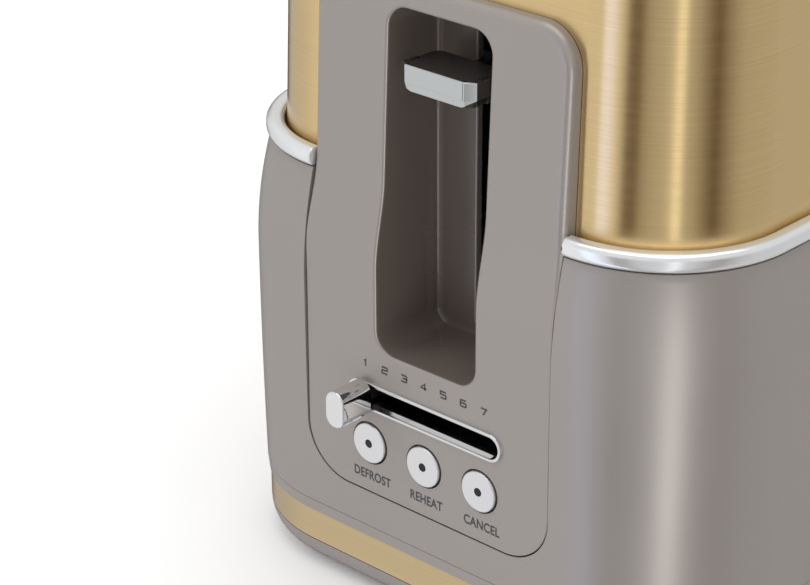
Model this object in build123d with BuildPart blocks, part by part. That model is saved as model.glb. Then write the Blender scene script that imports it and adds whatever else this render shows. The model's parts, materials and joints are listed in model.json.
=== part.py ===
"""Two-slice pop up toaster, as an assembly of separate pieces.

Millimetres. +Z is up, Z = 0 is the surface that the feet stand on, the control panel faces -Y and the
origin is under the middle of the whole object. Depths are measured back from the panel's front plane.
"""

import os
from math import radians, tan

from build123d import *

os.makedirs("parts", exist_ok=True)

# ---------------------------------------------------------------- body
BELLY_HALF_WIDTH = 86.7
BELLY_PROUD = 0.55            # the belly stands this far in front of the panel's plane
BELLY_RADIUS = 42.7
BODY_DEPTH = 276.0            # panel plane to the rearmost point of the belly
KNOB_PROUD = 12.3             # slider knob in front of the panel's plane
TRAY_GRIP_PROUD = 7.0         # crumb tray grip behind the belly
PANEL_Y = KNOB_PROUD - (KNOB_PROUD + BODY_DEPTH + TRAY_GRIP_PROUD) / 2

FOOT_HEIGHT = 3.0
STRIP_BOTTOM = 9.7
STRIP_TOP = 19.0
SHELL_BOTTOM = 19.15
BELLY_Z = 93.0
SHELL_TOP = 123.0
TOP_Z = 204.0
WALL = 2.5                    # moulded walls
SHEET = 0.8                   # steel skins

# ---------------------------------------------------------------- upper shell and ring
UPPER_HALF_WIDTH = 78.0
UPPER_FRONT = 8.4
UPPER_RADIUS = 34.0
UPPER_BOTTOM = 112.0
UPPER_WAIST = 129.0           # height at which the two sizes above are taken
UPPER_LEAN = tan(radians(1.8))
SHOULDER_RADIUS = 12.0
UPPER_REAR = BODY_DEPTH - BELLY_PROUD - UPPER_FRONT
SURROUND_PROUD = 1.8
SURROUND_LAP = 3.0            # the slot surround covers this much of the steel rim
TOP_RIM = 25.0                # plan width of the steel left round the slot surround

RING_HALF_WIDTH = 83.6
RING_FRONT = 2.5
RING_RADIUS = 39.6
RING_WIDTH = 5.2
RING_BOTTOM = 123.2
RING_TOP = 128.4
RING_EDGE = 2.2
RING_REAR = BODY_DEPTH - BELLY_PROUD - RING_FRONT

# ---------------------------------------------------------------- control panel
PANEL_HALF_WIDTH = 43.2
PANEL_BOTTOM = 34.3
PANEL_TOP = 180.8
PANEL_BOTTOM_RADIUS = 14.9
PANEL_TOP_RADIUS = 11.6
PANEL_EDGE = 1.0
PANEL_GAP = 0.35              # dark groove round the panel
PANEL_BEND_Z = 101.0          # below this the panel is upright
PANEL_SEAT = 0.1              # gap between the panel's back edge and the steel
WINDOW_HALF_WIDTH = 39.4      # opening in the steel behind the panel
WINDOW_BOTTOM = 100.0
WINDOW_TOP = 177.6
WINDOW_RADIUS = 6.0
RECESS_HALF_WIDTH = 17.4
RECESS_BOTTOM = 78.2
RECESS_TOP = 174.1
RECESS_RADIUS = 6.0
RECESS_DEPTH = 23.5
RECESS_WALL = 2.0
RECESS_DRAFT = 2.9
LEVER_SLOT_HALF_WIDTH = 2.6
LEVER_SLOT_BOTTOM = 82.0
LEVER_SLOT_TOP = 172.0

BUTTON_PITCH = 19.8
BUTTON_X = {"defrost": -BUTTON_PITCH, "reheat": 0.0, "cancel": BUTTON_PITCH}
TACT_Z = 41.0
BOARD_DEPTH = 16.0            # front face of the control board
BOARD_POSTS = [(x, z) for x in (-34.0, 34.0) for z in (47.0, 71.0)]
BUTTON_Z = 49.5
BUTTON_RADIUS = 5.85
BUTTON_PROUD = 0.7
BUTTON_GAP = 0.5
LENS_RADIUS = 1.15
FIT = 0.05                    # radial clearance of pieces that are pushed together

SLIDER_Z = 64.0
SLIDER_TRAVEL = 42.5
KNOB_LOW = 58.4
KNOB_HIGH = 69.0
SLOT_LENGTH = 51.7
SLOT_HEIGHT = 4.9
TRIM_LENGTH = 55.0
TRIM_HEIGHT = 8.15

# ---------------------------------------------------------------- lever and carriage
PADDLE_HALF_WIDTH = 12.7
PADDLE_BOTTOM = 153.1
PADDLE_TOP = 160.3
PADDLE_FRONT = 3.9
PADDLE_BACK = 18.6
CAP_THICK = 1.2
CAP_DEPTH = 7.0
CAP_CHAMFER = 2.3
ARM_THICK = 3.0
CARRIAGE_DEPTH = 50.0
CARRIAGE_BOTTOM = 104.0
CARRIAGE_SHEET = 1.5
RACK_TOP = 112.5

ROD_X = 12.0
ROD_DEPTH = 40.0
ROD_RADIUS = 2.0
BUSH_RADIUS = 4.5
BUSH_BOTTOM = 110.0
SHELF_Z = 20.0                # upper face of the chassis shelf that carries the spring and the magnet

# ---------------------------------------------------------------- toasting chamber
CHAMBER_FRONT = 63.0          # inner face of the front chassis plate
CHAMBER_REAR = 213.0          # inner face of the rear chassis plate
CHASSIS_SHEET = 1.0
CHASSIS_BOTTOM = 21.0
CHASSIS_TOP = 199.0
CHASSIS_HALF_WIDTH = 60.0
SLOT_X = 30.0
SLOT_WIDTH = 36.0
SLOT_FRONT = 67.0
SLOT_REAR = 210.0
HEATER_X = 55.0
GUARD_OFFSET = 19.5           # bread guard to the middle of its slot
GUARD_PIVOT_Z = 34.0
GUARD_TOP = 184.0
PIVOT_RADIUS = 1.5
WIRE_RADIUS = 1.0

TRAY_HALF_WIDTH = 56.0
TRAY_FRONT = 66.0
TRAY_BOTTOM = 10.8
TRAY_TOP = 17.6
TRAY_REAR = 269.5
GRIP_HALF_WIDTH = 58.0

GLAND_X = 34.0
GLAND_Z = 40.0
GLAND_BORE = 7.0
GLAND_BODY = 5.9              # radius of the gland where it passes through the shell
MAGNET_TOP = 35.7


def depth(distance):
    """Y of a point this far behind the panel's front plane."""
    return PANEL_Y + distance


def facing(distance):
    """Plane across the body at a depth. It faces the front, so a positive extrude comes forward."""
    return Plane.XZ.offset(-depth(distance))


def seen_from_side(x=0.0):
    """Plane along the body whose own x runs back (+Y) and whose own y runs up."""
    return Plane(origin=(x, 0, 0), x_dir=(0, 1, 0), z_dir=(1, 0, 0))


def mid_depth(front, rear):
    """Y half way between two depths."""
    return depth((front + rear) / 2)


def plan_path(half_width, front, rear, radius):
    """Closed rounded rectangle on the ground plane, starting in the middle of the front."""
    corners = [
        (0, depth(front)),
        (half_width, depth(front)),
        (half_width, depth(rear)),
        (-half_width, depth(rear)),
        (-half_width, depth(front)),
    ]
    with BuildLine(mode=Mode.PRIVATE) as path:
        FilletPolyline(*corners, radius=[0, radius, radius, radius, radius], close=True)
    return path.wire()


def belly_path():
    return plan_path(BELLY_HALF_WIDTH, -BELLY_PROUD, BODY_DEPTH, BELLY_RADIUS)


def belly_plan(inset, mode=Mode.ADD):
    """Outline of the body's widest part moved in by an inset, in the sketch being drawn."""
    length = BODY_DEPTH + BELLY_PROUD - 2 * inset
    with Locations((0, mid_depth(-BELLY_PROUD, BODY_DEPTH))):
        RectangleRounded(2 * (BELLY_HALF_WIDTH - inset), length, BELLY_RADIUS - inset, mode=mode)


def from_front(distance):
    """Plane across the body at a depth, from which a positive extrude goes back into the body."""
    return Plane(origin=(0, depth(distance), 0), x_dir=(-1, 0, 0), z_dir=(0, 1, 0))


def block(x0, x1, near, far, z0, z1, mode=Mode.ADD):
    """Box between two X, two depths and two heights, in the part being built."""
    with Locations(((x0 + x1) / 2, mid_depth(near, far), (z0 + z1) / 2)):
        Box(x1 - x0, far - near, z1 - z0, mode=mode)


def bar_back(x, z, near, far, radius, mode=Mode.ADD):
    """Round bar along the body, between two depths."""
    with Locations(Location((x, mid_depth(near, far), z), (90, 0, 0))):
        Cylinder(radius, far - near, mode=mode)


def bar_up(x, distance, z0, z1, radius, mode=Mode.ADD):
    """Round bar standing up, between two heights."""
    with Locations((x, depth(distance), (z0 + z1) / 2)):
        Cylinder(radius, z1 - z0, mode=mode)


def bar_across(x0, x1, distance, z, radius, mode=Mode.ADD):
    """Round bar across the body, between two X."""
    with Locations(Location(((x0 + x1) / 2, depth(distance), z), (0, 90, 0))):
        Cylinder(radius, x1 - x0, mode=mode)


def save(builder, name):
    """Label a finished piece and write it to its own file."""
    builder.part.label = name
    export_step(builder.part, f"parts/{name}.step")


# ================================================================ body shells
# Lower shell: a wall whose side view is slightly bellied and curves in to a ledge under the ring.
CREASE_Z = 22.9
SHELL_TOP_INSET = 4.3
LEDGE_INSET = 8.3
with BuildPart() as lower_shell:
    with BuildSketch(seen_from_side()) as wall:
        with BuildLine():
            front = depth(-BELLY_PROUD)
            Line((front + 1.3, SHELL_BOTTOM), (front + 0.9, CREASE_Z))
            ThreePointArc((front + 0.9, CREASE_Z), (front + 0.45, 60.0), (front, BELLY_Z))
            top_edge = (front + SHELL_TOP_INSET, SHELL_TOP)
            under_ledge = (front + SHELL_TOP_INSET + 2, SHELL_TOP - 2)
            ThreePointArc((front, BELLY_Z), (front + 1.15, 108.0), top_edge)
            Line(top_edge, (front + LEDGE_INSET, SHELL_TOP))
            Line((front + LEDGE_INSET, SHELL_TOP), (front + LEDGE_INSET, SHELL_TOP - 2))
            Line((front + LEDGE_INSET, SHELL_TOP - 2), under_ledge)
            ThreePointArc(under_ledge, (front + 1.2 + WALL, 107.5), (front + WALL, BELLY_Z))
            ThreePointArc(
                (front + WALL, BELLY_Z), (front + 0.45 + WALL, 60.0), (front + 1.0 + WALL, SHELL_BOTTOM)
            )
            Line((front + 1.0 + WALL, SHELL_BOTTOM), (front + 1.3, SHELL_BOTTOM))
        make_face()
    sweep(path=belly_path())
    # opening for the control panel
    with BuildSketch(facing(WALL + 20)) as opening:
        with Locations((0, (PANEL_BOTTOM - PANEL_GAP + SHELL_TOP + 20) / 2)):
            RectangleRounded(
                2 * (PANEL_HALF_WIDTH + PANEL_GAP),
                SHELL_TOP + 20 - PANEL_BOTTOM + PANEL_GAP,
                PANEL_BOTTOM_RADIUS + PANEL_GAP,
            )
    extrude(amount=WALL + 40, mode=Mode.SUBTRACT)
    # hole for the cord gland
    with BuildSketch(facing(BODY_DEPTH + 5)):
        with Locations((GLAND_X, GLAND_Z)):
            Circle(GLAND_BODY + 0.2)
    extrude(amount=20, mode=Mode.SUBTRACT)
save(lower_shell, "lower_shell")

# Upper shell: thin steel with a rounded shoulder and a flat rim round the slot surround.
def upper_front(z):
    """Depth of the upper shell's front face at a height."""
    return UPPER_FRONT + UPPER_LEAN * (z - UPPER_WAIST)


SHOULDER_Z = TOP_Z - SHOULDER_RADIUS
with BuildPart() as upper_shell:
    foot = depth(upper_front(UPPER_BOTTOM))
    bend = depth(upper_front(SHOULDER_Z))
    with BuildSketch(seen_from_side()) as skin:
        with BuildLine():
            Line((foot, UPPER_BOTTOM), (bend, SHOULDER_Z))
            RadiusArc((bend, SHOULDER_Z), (bend + SHOULDER_RADIUS, TOP_Z), SHOULDER_RADIUS)
            Line((bend + SHOULDER_RADIUS, TOP_Z), (bend + TOP_RIM, TOP_Z))
            Line((bend + TOP_RIM, TOP_Z), (bend + TOP_RIM, TOP_Z - SHEET))
            Line((bend + TOP_RIM, TOP_Z - SHEET), (bend + SHOULDER_RADIUS, TOP_Z - SHEET))
            RadiusArc(
                (bend + SHOULDER_RADIUS, TOP_Z - SHEET),
                (bend + SHEET, SHOULDER_Z),
                -(SHOULDER_RADIUS - SHEET),
            )
            Line((bend + SHEET, SHOULDER_Z), (foot + SHEET, UPPER_BOTTOM))
            Line((foot + SHEET, UPPER_BOTTOM), (foot, UPPER_BOTTOM))
        make_face()
    sweep(path=plan_path(UPPER_HALF_WIDTH, UPPER_FRONT, UPPER_REAR, UPPER_RADIUS))
    # opening behind the control panel
    with BuildSketch(facing(30)) as window:
        with Locations((0, (WINDOW_BOTTOM + WINDOW_TOP) / 2)):
            RectangleRounded(2 * WINDOW_HALF_WIDTH, WINDOW_TOP - WINDOW_BOTTOM, WINDOW_RADIUS)
    extrude(amount=40, mode=Mode.SUBTRACT)
save(upper_shell, "upper_shell")

# Belt ring: a rounded bar bent round the body, cut square at both sides of the control panel.
RING_START = PANEL_HALF_WIDTH + PANEL_GAP
with BuildPart() as belt_ring:
    with BuildLine() as ring_path:
        FilletPolyline(
            (RING_START, depth(RING_FRONT)),
            (RING_HALF_WIDTH, depth(RING_FRONT)),
            (RING_HALF_WIDTH, depth(RING_REAR)),
            (-RING_HALF_WIDTH, depth(RING_REAR)),
            (-RING_HALF_WIDTH, depth(RING_FRONT)),
            (-RING_START, depth(RING_FRONT)),
            radius=RING_RADIUS,
        )
    with BuildSketch(seen_from_side(RING_START)) as bead:
        with Locations((depth(RING_FRONT + RING_WIDTH / 2), (RING_BOTTOM + RING_TOP) / 2)):
            RectangleRounded(RING_WIDTH, RING_TOP - RING_BOTTOM, RING_EDGE)
    sweep(path=ring_path.wire())
save(belt_ring, "belt_ring")

# Slot surround: a plate over the steel rim, with a plug that fills the opening and two bread slots.
with BuildPart() as slot_surround:
    rim_inner = UPPER_HALF_WIDTH - upper_front(SHOULDER_Z) + UPPER_FRONT - TOP_RIM
    rim_front = upper_front(SHOULDER_Z) + TOP_RIM
    rim_length = BODY_DEPTH - BELLY_PROUD - 2 * rim_front
    rim_radius = UPPER_RADIUS - TOP_RIM
    with BuildSketch(Plane.XY.offset(TOP_Z)) as flange:
        with Locations((0, mid_depth(-BELLY_PROUD, BODY_DEPTH))):
            RectangleRounded(
                2 * (rim_inner + SURROUND_LAP),
                rim_length + 2 * SURROUND_LAP,
                rim_radius + SURROUND_LAP,
            )
    extrude(amount=SURROUND_PROUD)
    fillet(slot_surround.faces().sort_by(Axis.Z)[-1].edges(), 1.2)
    with BuildSketch(Plane.XY.offset(CHASSIS_TOP)) as plug:
        with Locations((0, mid_depth(-BELLY_PROUD, BODY_DEPTH))):
            RectangleRounded(2 * rim_inner - 0.6, rim_length - 0.6, rim_radius - 0.3)
    extrude(amount=TOP_Z - CHASSIS_TOP)
    with BuildSketch(Plane.XY.offset(CHASSIS_TOP)) as slots:
        with Locations(*[(side * SLOT_X, mid_depth(SLOT_FRONT, SLOT_REAR)) for side in (-1, 1)]):
            RectangleRounded(SLOT_WIDTH, SLOT_REAR - SLOT_FRONT, 4.0)
    extrude(amount=TOP_Z - CHASSIS_TOP + SURROUND_PROUD, mode=Mode.SUBTRACT)
    slot_edges = slot_surround.faces().sort_by(Axis.Z)[-1].inner_wires()
    fillet([edge for wire in slot_edges for edge in wire.edges()], 1.2)
save(slot_surround, "slot_surround")

# ================================================================ base
BASE_INSET = 1.75
BASE_LEDGE = 9.4              # the strip stands a hair above this ledge
FOOT_PLACES = [(side * 58.0, distance) for side in (-1, 1) for distance in (30.0, 246.0)]
POST_PLACES = [(side * 66.0, distance) for side in (-1, 1) for distance in (57.0, 219.0)]
FLOOR_TOP = FOOT_HEIGHT + WALL
with BuildPart() as base:
    with BuildSketch(seen_from_side()) as rim:
        front = depth(-BELLY_PROUD)
        with BuildLine():
            ThreePointArc((front + 4.8, FOOT_HEIGHT), (front + 2.9, 5.2), (front + BASE_INSET, BASE_LEDGE))
            Polyline(
                (front + BASE_INSET, BASE_LEDGE),
                (front + 2.6, BASE_LEDGE),
                (front + 2.6, STRIP_TOP),
                (front + 4.0, STRIP_TOP),
                (front + 4.0, 27.0),
                (front + 6.0, 27.0),
                (front + 6.0, FOOT_HEIGHT),
                (front + 4.8, FOOT_HEIGHT),
            )
        make_face()
    sweep(path=belly_path())
    with BuildSketch(Plane.XY.offset(FOOT_HEIGHT)) as floor:
        belly_plan(5.0)
    extrude(amount=WALL)
    for x, distance in POST_PLACES:
        bar_up(x, distance, FOOT_HEIGHT, CHASSIS_BOTTOM, 5.0)
        bar_up(x, distance, FOOT_HEIGHT, CHASSIS_BOTTOM, 1.6, mode=Mode.SUBTRACT)
        bar_up(x, distance, FOOT_HEIGHT, 6.0, 3.5, mode=Mode.SUBTRACT)
    for x, distance in FOOT_PLACES:
        bar_up(x, distance, FOOT_HEIGHT, FLOOR_TOP, 3.6, mode=Mode.SUBTRACT)
    for side in (-1, 1):
        block(side * 50 - 2, side * 50 + 2, 68, 262, FLOOR_TOP, TRAY_BOTTOM - 0.1)
    # way out for the crumb tray, and cooling slots under it
    block(-GRIP_HALF_WIDTH - 0.5, GRIP_HALF_WIDTH + 0.5, 262, 280, BASE_LEDGE, STRIP_TOP, mode=Mode.SUBTRACT)
    with BuildSketch(Plane.XY.offset(FOOT_HEIGHT)) as vents:
        with Locations((0, mid_depth(CHAMBER_FRONT, CHAMBER_REAR))):
            with GridLocations(0, 14, 1, 9):
                SlotOverall(70, 4)
    extrude(amount=WALL, mode=Mode.SUBTRACT)
save(base, "base")

with BuildPart() as base_strip:
    with BuildSketch(Plane.XY.offset(STRIP_BOTTOM)) as band:
        belly_plan(1.7)
        belly_plan(1.7 + SHEET, mode=Mode.SUBTRACT)
    extrude(amount=STRIP_TOP - STRIP_BOTTOM)
    block(-GRIP_HALF_WIDTH - 0.5, GRIP_HALF_WIDTH + 0.5, 250, 280, 5, 25, mode=Mode.SUBTRACT)
save(base_strip, "base_strip")

with BuildPart() as feet:
    for x, distance in FOOT_PLACES:
        bar_up(x, distance, 0, FOOT_HEIGHT, 8.0)
        bar_up(x, distance, FOOT_HEIGHT, 7.0, 3.5)
        bar_up(x, distance, FLOOR_TOP, 7.0, 4.6)
    chamfer(feet.edges().group_by(Axis.Z)[0], 0.8)
save(feet, "feet")

with BuildPart() as chassis_screws:
    for x, distance in POST_PLACES:
        bar_up(x, distance, 3.8, 6.0, 3.2)
        bar_up(x, distance, 6.0, 25.0, 1.5)
        with Locations((x, depth(distance), 3.8)):
            Box(4.0, 0.8, 1.6, mode=Mode.SUBTRACT)
            Box(0.8, 4.0, 1.6, mode=Mode.SUBTRACT)
save(chassis_screws, "chassis_screws")

with BuildPart() as cord_gland:
    bar_back(GLAND_X, GLAND_Z, 268, 278.5, GLAND_BODY)
    bar_back(GLAND_X, GLAND_Z, 276.1, 278.5, 8.0)
    bar_back(GLAND_X, GLAND_Z, 269, 272.2, 7.0)
    bar_back(GLAND_X, GLAND_Z, 260, 290, GLAND_BORE / 2, mode=Mode.SUBTRACT)
save(cord_gland, "cord_gland")

# ================================================================ crumb tray
with BuildPart() as crumb_tray:
    block(-TRAY_HALF_WIDTH, TRAY_HALF_WIDTH, TRAY_FRONT, TRAY_REAR, TRAY_BOTTOM, TRAY_TOP)
    inner = TRAY_HALF_WIDTH - SHEET
    front_wall = TRAY_FRONT + SHEET
    rear_wall = TRAY_REAR - SHEET
    block(-inner, inner, front_wall, rear_wall, TRAY_BOTTOM + SHEET, 30, mode=Mode.SUBTRACT)
save(crumb_tray, "crumb_tray")

with BuildPart() as crumb_tray_grip:
    with BuildSketch(Plane.XY.offset(STRIP_BOTTOM)) as grip_band:
        belly_plan(1.7)
        belly_plan(3.7, mode=Mode.SUBTRACT)
    extrude(amount=STRIP_TOP - STRIP_BOTTOM)
    block(-GRIP_HALF_WIDTH, GRIP_HALF_WIDTH, 250, 280, 5, 25, mode=Mode.INTERSECT)
    grip_front = BODY_DEPTH - 2.6
    block(-24, 24, grip_front, BODY_DEPTH + TRAY_GRIP_PROUD, 12.0, 16.4)
    fillet(crumb_tray_grip.edges().filter_by(Axis.Z).group_by(Axis.Y)[-1], 2.5)
    block(-TRAY_HALF_WIDTH + 4, TRAY_HALF_WIDTH - 4, TRAY_REAR, grip_front + 0.6, 11.4, 17.2)
save(crumb_tray_grip, "crumb_tray_grip")

# ================================================================ control panel
LEAN_START = 126.5


def panel_front(z):
    """Depth of the panel's face in its upper, leaning part."""
    return 3.6 + 0.0442 * (z - LEAN_START)


def panel_block(inset, shift, back_shift):
    """Solid panel moved in by an inset all round, with its face moved back by a shift."""
    bottom = PANEL_BOTTOM + inset
    top = PANEL_TOP - inset
    with BuildPart() as body:
        with BuildSketch(seen_from_side(-PANEL_HALF_WIDTH)) as side:
            with BuildLine():
                Line((depth(shift), bottom), (depth(shift), PANEL_BEND_Z))
                Spline(
                    (depth(shift), PANEL_BEND_Z),
                    (depth(panel_front(LEAN_START) + shift), LEAN_START),
                    tangents=((0, 1), (0.0442, 1)),
                )
                Polyline(
                    (depth(panel_front(LEAN_START) + shift), LEAN_START),
                    (depth(panel_front(top) + shift), top),
                    (depth(upper_front(top) - PANEL_SEAT + back_shift), top),
                    (depth(upper_front(bottom) - PANEL_SEAT + back_shift), bottom),
                    (depth(shift), bottom),
                )
            make_face()
        extrude(amount=2 * PANEL_HALF_WIDTH)
        with BuildSketch(facing(40)) as outline:
            with Locations((0, (bottom + top) / 2)):
                Rectangle(2 * (PANEL_HALF_WIDTH - inset), top - bottom)
            fillet(outline.vertices().group_by(Axis.Y)[0], PANEL_BOTTOM_RADIUS - inset)
            fillet(outline.vertices().group_by(Axis.Y)[-1], PANEL_TOP_RADIUS - inset)
        extrude(amount=60, mode=Mode.INTERSECT)
    return body


def face_rim(body):
    """Edges round the panel's face, without the two seams that cross it."""
    return body.edges().filter_by(
        lambda edge: edge.center().Y < depth(7)
        and not (abs(edge.center().X) < 1 and PANEL_BOTTOM + 1 < edge.center().Z < PANEL_TOP - 1)
    )


def recess_sketch(margin):
    """Rounded upright rectangle of the lever recess, grown by a margin, in the sketch being drawn."""
    with Locations((0, (RECESS_BOTTOM + RECESS_TOP) / 2)):
        RectangleRounded(
            2 * (RECESS_HALF_WIDTH + margin),
            RECESS_TOP - RECESS_BOTTOM + 2 * margin,
            RECESS_RADIUS + margin,
        )


panel_solid = panel_block(0, 0, 0)
panel_hollow = panel_block(WALL, WALL, 5)
behind_face = panel_block(0, 1.0, 40)
with BuildPart() as recess_case:
    with BuildSketch(from_front(0)) as case_outline:
        recess_sketch(RECESS_WALL)
    extrude(amount=RECESS_DEPTH + RECESS_WALL, taper=RECESS_DRAFT)
    add(behind_face.part, mode=Mode.INTERSECT)
with BuildPart() as control_panel:
    add(panel_solid.part)
    fillet(face_rim(control_panel), PANEL_EDGE)
    add(panel_hollow.part, mode=Mode.SUBTRACT)
    add(recess_case.part)
    with BuildSketch(from_front(0)) as recess_mouth:
        recess_sketch(0.0)
    extrude(amount=RECESS_DEPTH, taper=RECESS_DRAFT, mode=Mode.SUBTRACT)
    block(
        -LEVER_SLOT_HALF_WIDTH, LEVER_SLOT_HALF_WIDTH, 15, 30, LEVER_SLOT_BOTTOM, LEVER_SLOT_TOP,
        mode=Mode.SUBTRACT,
    )
    for x, z in BOARD_POSTS:
        bar_back(x, z, 2.0, BOARD_DEPTH, 3.0)
        bar_back(x, z, 8.0, BOARD_DEPTH, 1.25, mode=Mode.SUBTRACT)
    with BuildSketch(facing(8)) as holes:
        with Locations(*[(x, BUTTON_Z) for x in BUTTON_X.values()]):
            Circle(BUTTON_RADIUS + BUTTON_GAP)
        with Locations((0, SLIDER_Z)):
            SlotOverall(SLOT_LENGTH + 1.8, SLOT_HEIGHT + 1.8)
    extrude(amount=10, mode=Mode.SUBTRACT)
    # clips that hook behind the steel
    for side in (-1, 1):
        for z in (118.0, 158.0):
            block(side * 37.6 - 1, side * 37.6 + 1, 5.5, 13.0, z - 5, z + 5)
            block(side * 38.8 - 1.4, side * 38.8 + 1.4, 11.4, 13.0, z - 5, z + 5)
save(control_panel, "control_panel")

# ---------------------------------------------------------------- slider
with BuildPart() as slider_trim:
    with BuildSketch(facing(0)) as lip:
        with Locations((0, SLIDER_Z)):
            SlotOverall(TRIM_LENGTH, TRIM_HEIGHT)
    extrude(amount=0.9)
    fillet(slider_trim.faces().sort_by(Axis.Y)[0].edges(), 0.6)
    with BuildSketch(facing(WALL)) as neck:
        with Locations((0, SLIDER_Z)):
            SlotOverall(SLOT_LENGTH + 1.6, SLOT_HEIGHT + 1.6)
    extrude(amount=WALL)
    with BuildSketch(facing(WALL)) as way:
        with Locations((0, SLIDER_Z)):
            SlotOverall(SLOT_LENGTH, SLOT_HEIGHT)
    extrude(amount=WALL + 2, mode=Mode.SUBTRACT)
save(slider_trim, "slider_trim")

SLIDER_X = -SLIDER_TRAVEL / 2
with BuildPart() as slider_knob:
    block(SLIDER_X - 3.35, SLIDER_X + 3.35, -KNOB_PROUD, -1.4, KNOB_LOW, KNOB_HIGH)
    fillet(slider_knob.edges().filter_by(Axis.Y), 3.0)
    fillet(slider_knob.faces().sort_by(Axis.Y)[0].edges(), 0.9)
    block(SLIDER_X - 1.45, SLIDER_X + 1.45, -6.0, 0, SLIDER_Z - 1.55, SLIDER_Z + 1.55, mode=Mode.SUBTRACT)
save(slider_knob, "slider_knob")

with BuildPart() as slider_carrier:
    block(SLIDER_X - 3.6, SLIDER_X + 3.6, 11.4, 14.6, SLIDER_Z - 2.6, SLIDER_Z + 2.6)
    block(SLIDER_X - 1.4, SLIDER_X + 1.4, -5.8, 12.0, SLIDER_Z - 1.5, SLIDER_Z + 1.5)
save(slider_carrier, "slider_carrier")

with BuildPart() as slide_potentiometer:
    block(-31, 31, 10.0, BOARD_DEPTH, SLIDER_Z - 4.5, SLIDER_Z + 4.5)
    block(-28, 28, 11.0, 15.0, SLIDER_Z - 3.1, SLIDER_Z + 3.1, mode=Mode.SUBTRACT)
    block(-26, 26, 9.0, 12.0, SLIDER_Z - 1.8, SLIDER_Z + 1.8, mode=Mode.SUBTRACT)
save(slide_potentiometer, "slide_potentiometer")

# ---------------------------------------------------------------- buttons, each with its lens and tact switch
for name, x in BUTTON_X.items():
    with BuildPart() as button:
        bar_back(x, BUTTON_Z, -BUTTON_PROUD, 5.2, BUTTON_RADIUS)
        fillet(button.edges().group_by(Axis.Y)[0], 0.5)
        bar_back(x, BUTTON_Z, 4.6, 6.2, BUTTON_RADIUS + 1.2)
        block(x - 2.0, x + 2.0, 4.6, 6.2, TACT_Z - 2, BUTTON_Z)
        bar_back(x, TACT_Z, 6.0, 8.8, 1.6)
        bar_back(x, BUTTON_Z, -3, 10, LENS_RADIUS + FIT, mode=Mode.SUBTRACT)
    save(button, f"button_{name}")
    with BuildPart() as lens:
        bar_back(x, BUTTON_Z, -BUTTON_PROUD - 0.05, 9.0, LENS_RADIUS)
    save(lens, f"lens_{name}")

with BuildPart() as tact_switches:
    for x in BUTTON_X.values():
        block(x - 3, x + 3, 12.2, BOARD_DEPTH, TACT_Z - 3, TACT_Z + 3)
        bar_back(x, TACT_Z, 11.2, 12.4, 1.7)
save(tact_switches, "tact_switches")

with BuildPart() as indicator_lamps:
    for x in BUTTON_X.values():
        bar_back(x, BUTTON_Z, 12.6, BOARD_DEPTH, 1.5)
        bar_back(x, BUTTON_Z, BOARD_DEPTH - 1, BOARD_DEPTH, 1.9)
    fillet(indicator_lamps.edges().group_by(Axis.Y)[0], 1.2)
save(indicator_lamps, "indicator_lamps")

with BuildPart() as control_board:
    block(-38, 38, BOARD_DEPTH, BOARD_DEPTH + 1.6, 37, 75)
    for x, z in BOARD_POSTS:
        bar_back(x, z, BOARD_DEPTH - 1, BOARD_DEPTH + 3, 1.3, mode=Mode.SUBTRACT)
save(control_board, "control_board")

with BuildPart() as board_screws:
    for x, z in BOARD_POSTS:
        bar_back(x, z, BOARD_DEPTH + 1.6, BOARD_DEPTH + 3.4, 2.5)
        bar_back(x, z, 9.0, BOARD_DEPTH + 2, 1.2)
        with Locations((x, depth(BOARD_DEPTH + 3.4), z)):
            Box(3.4, 1.6, 0.6, mode=Mode.SUBTRACT)
            Box(0.6, 1.6, 3.4, mode=Mode.SUBTRACT)
save(board_screws, "board_screws")

# ================================================================ chassis
def slot_edges_x():
    """X of the four bread guards."""
    return [side * (SLOT_X + across * GUARD_OFFSET) for side in (-1, 1) for across in (-1, 1)]


def chassis_cuts(near, far):
    """Holes for the guard pivots and the upright slots for the bread racks, through a chassis plate."""
    for x in slot_edges_x():
        bar_back(x, GUARD_PIVOT_Z, near, far, PIVOT_RADIUS + FIT, mode=Mode.SUBTRACT)
    for side in (-1, 1):
        block(side * SLOT_X - 1.6, side * SLOT_X + 1.6, near, far, 35.0, 126.0, mode=Mode.SUBTRACT)


with BuildPart() as chassis_front:
    plate = CHAMBER_FRONT - CHASSIS_SHEET
    block(-CHASSIS_HALF_WIDTH, CHASSIS_HALF_WIDTH, plate, CHAMBER_FRONT, SHELF_Z - 1, CHASSIS_TOP)
    for side in (-1, 1):
        block(side * 65.5 - 6.5, side * 65.5 + 6.5, plate, CHAMBER_FRONT, CHASSIS_BOTTOM, 34)
        block(side * 65.5 - 6.5, side * 65.5 + 6.5, 52, CHAMBER_FRONT, CHASSIS_BOTTOM, CHASSIS_BOTTOM + 1)
    block(-40, 40, 33, CHAMBER_FRONT, SHELF_Z - 1, SHELF_Z)
    block(ROD_X - 7, ROD_X + 7, 33, CHAMBER_FRONT, 186, 187)
    bar_up(ROD_X, ROD_DEPTH, 10, 195, ROD_RADIUS + FIT, mode=Mode.SUBTRACT)
    for x, distance in POST_PLACES:
        bar_up(x, distance, 20, 24, 1.55, mode=Mode.SUBTRACT)
    chassis_cuts(plate - 1, CHAMBER_FRONT + 1)
save(chassis_front, "chassis_front")

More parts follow.
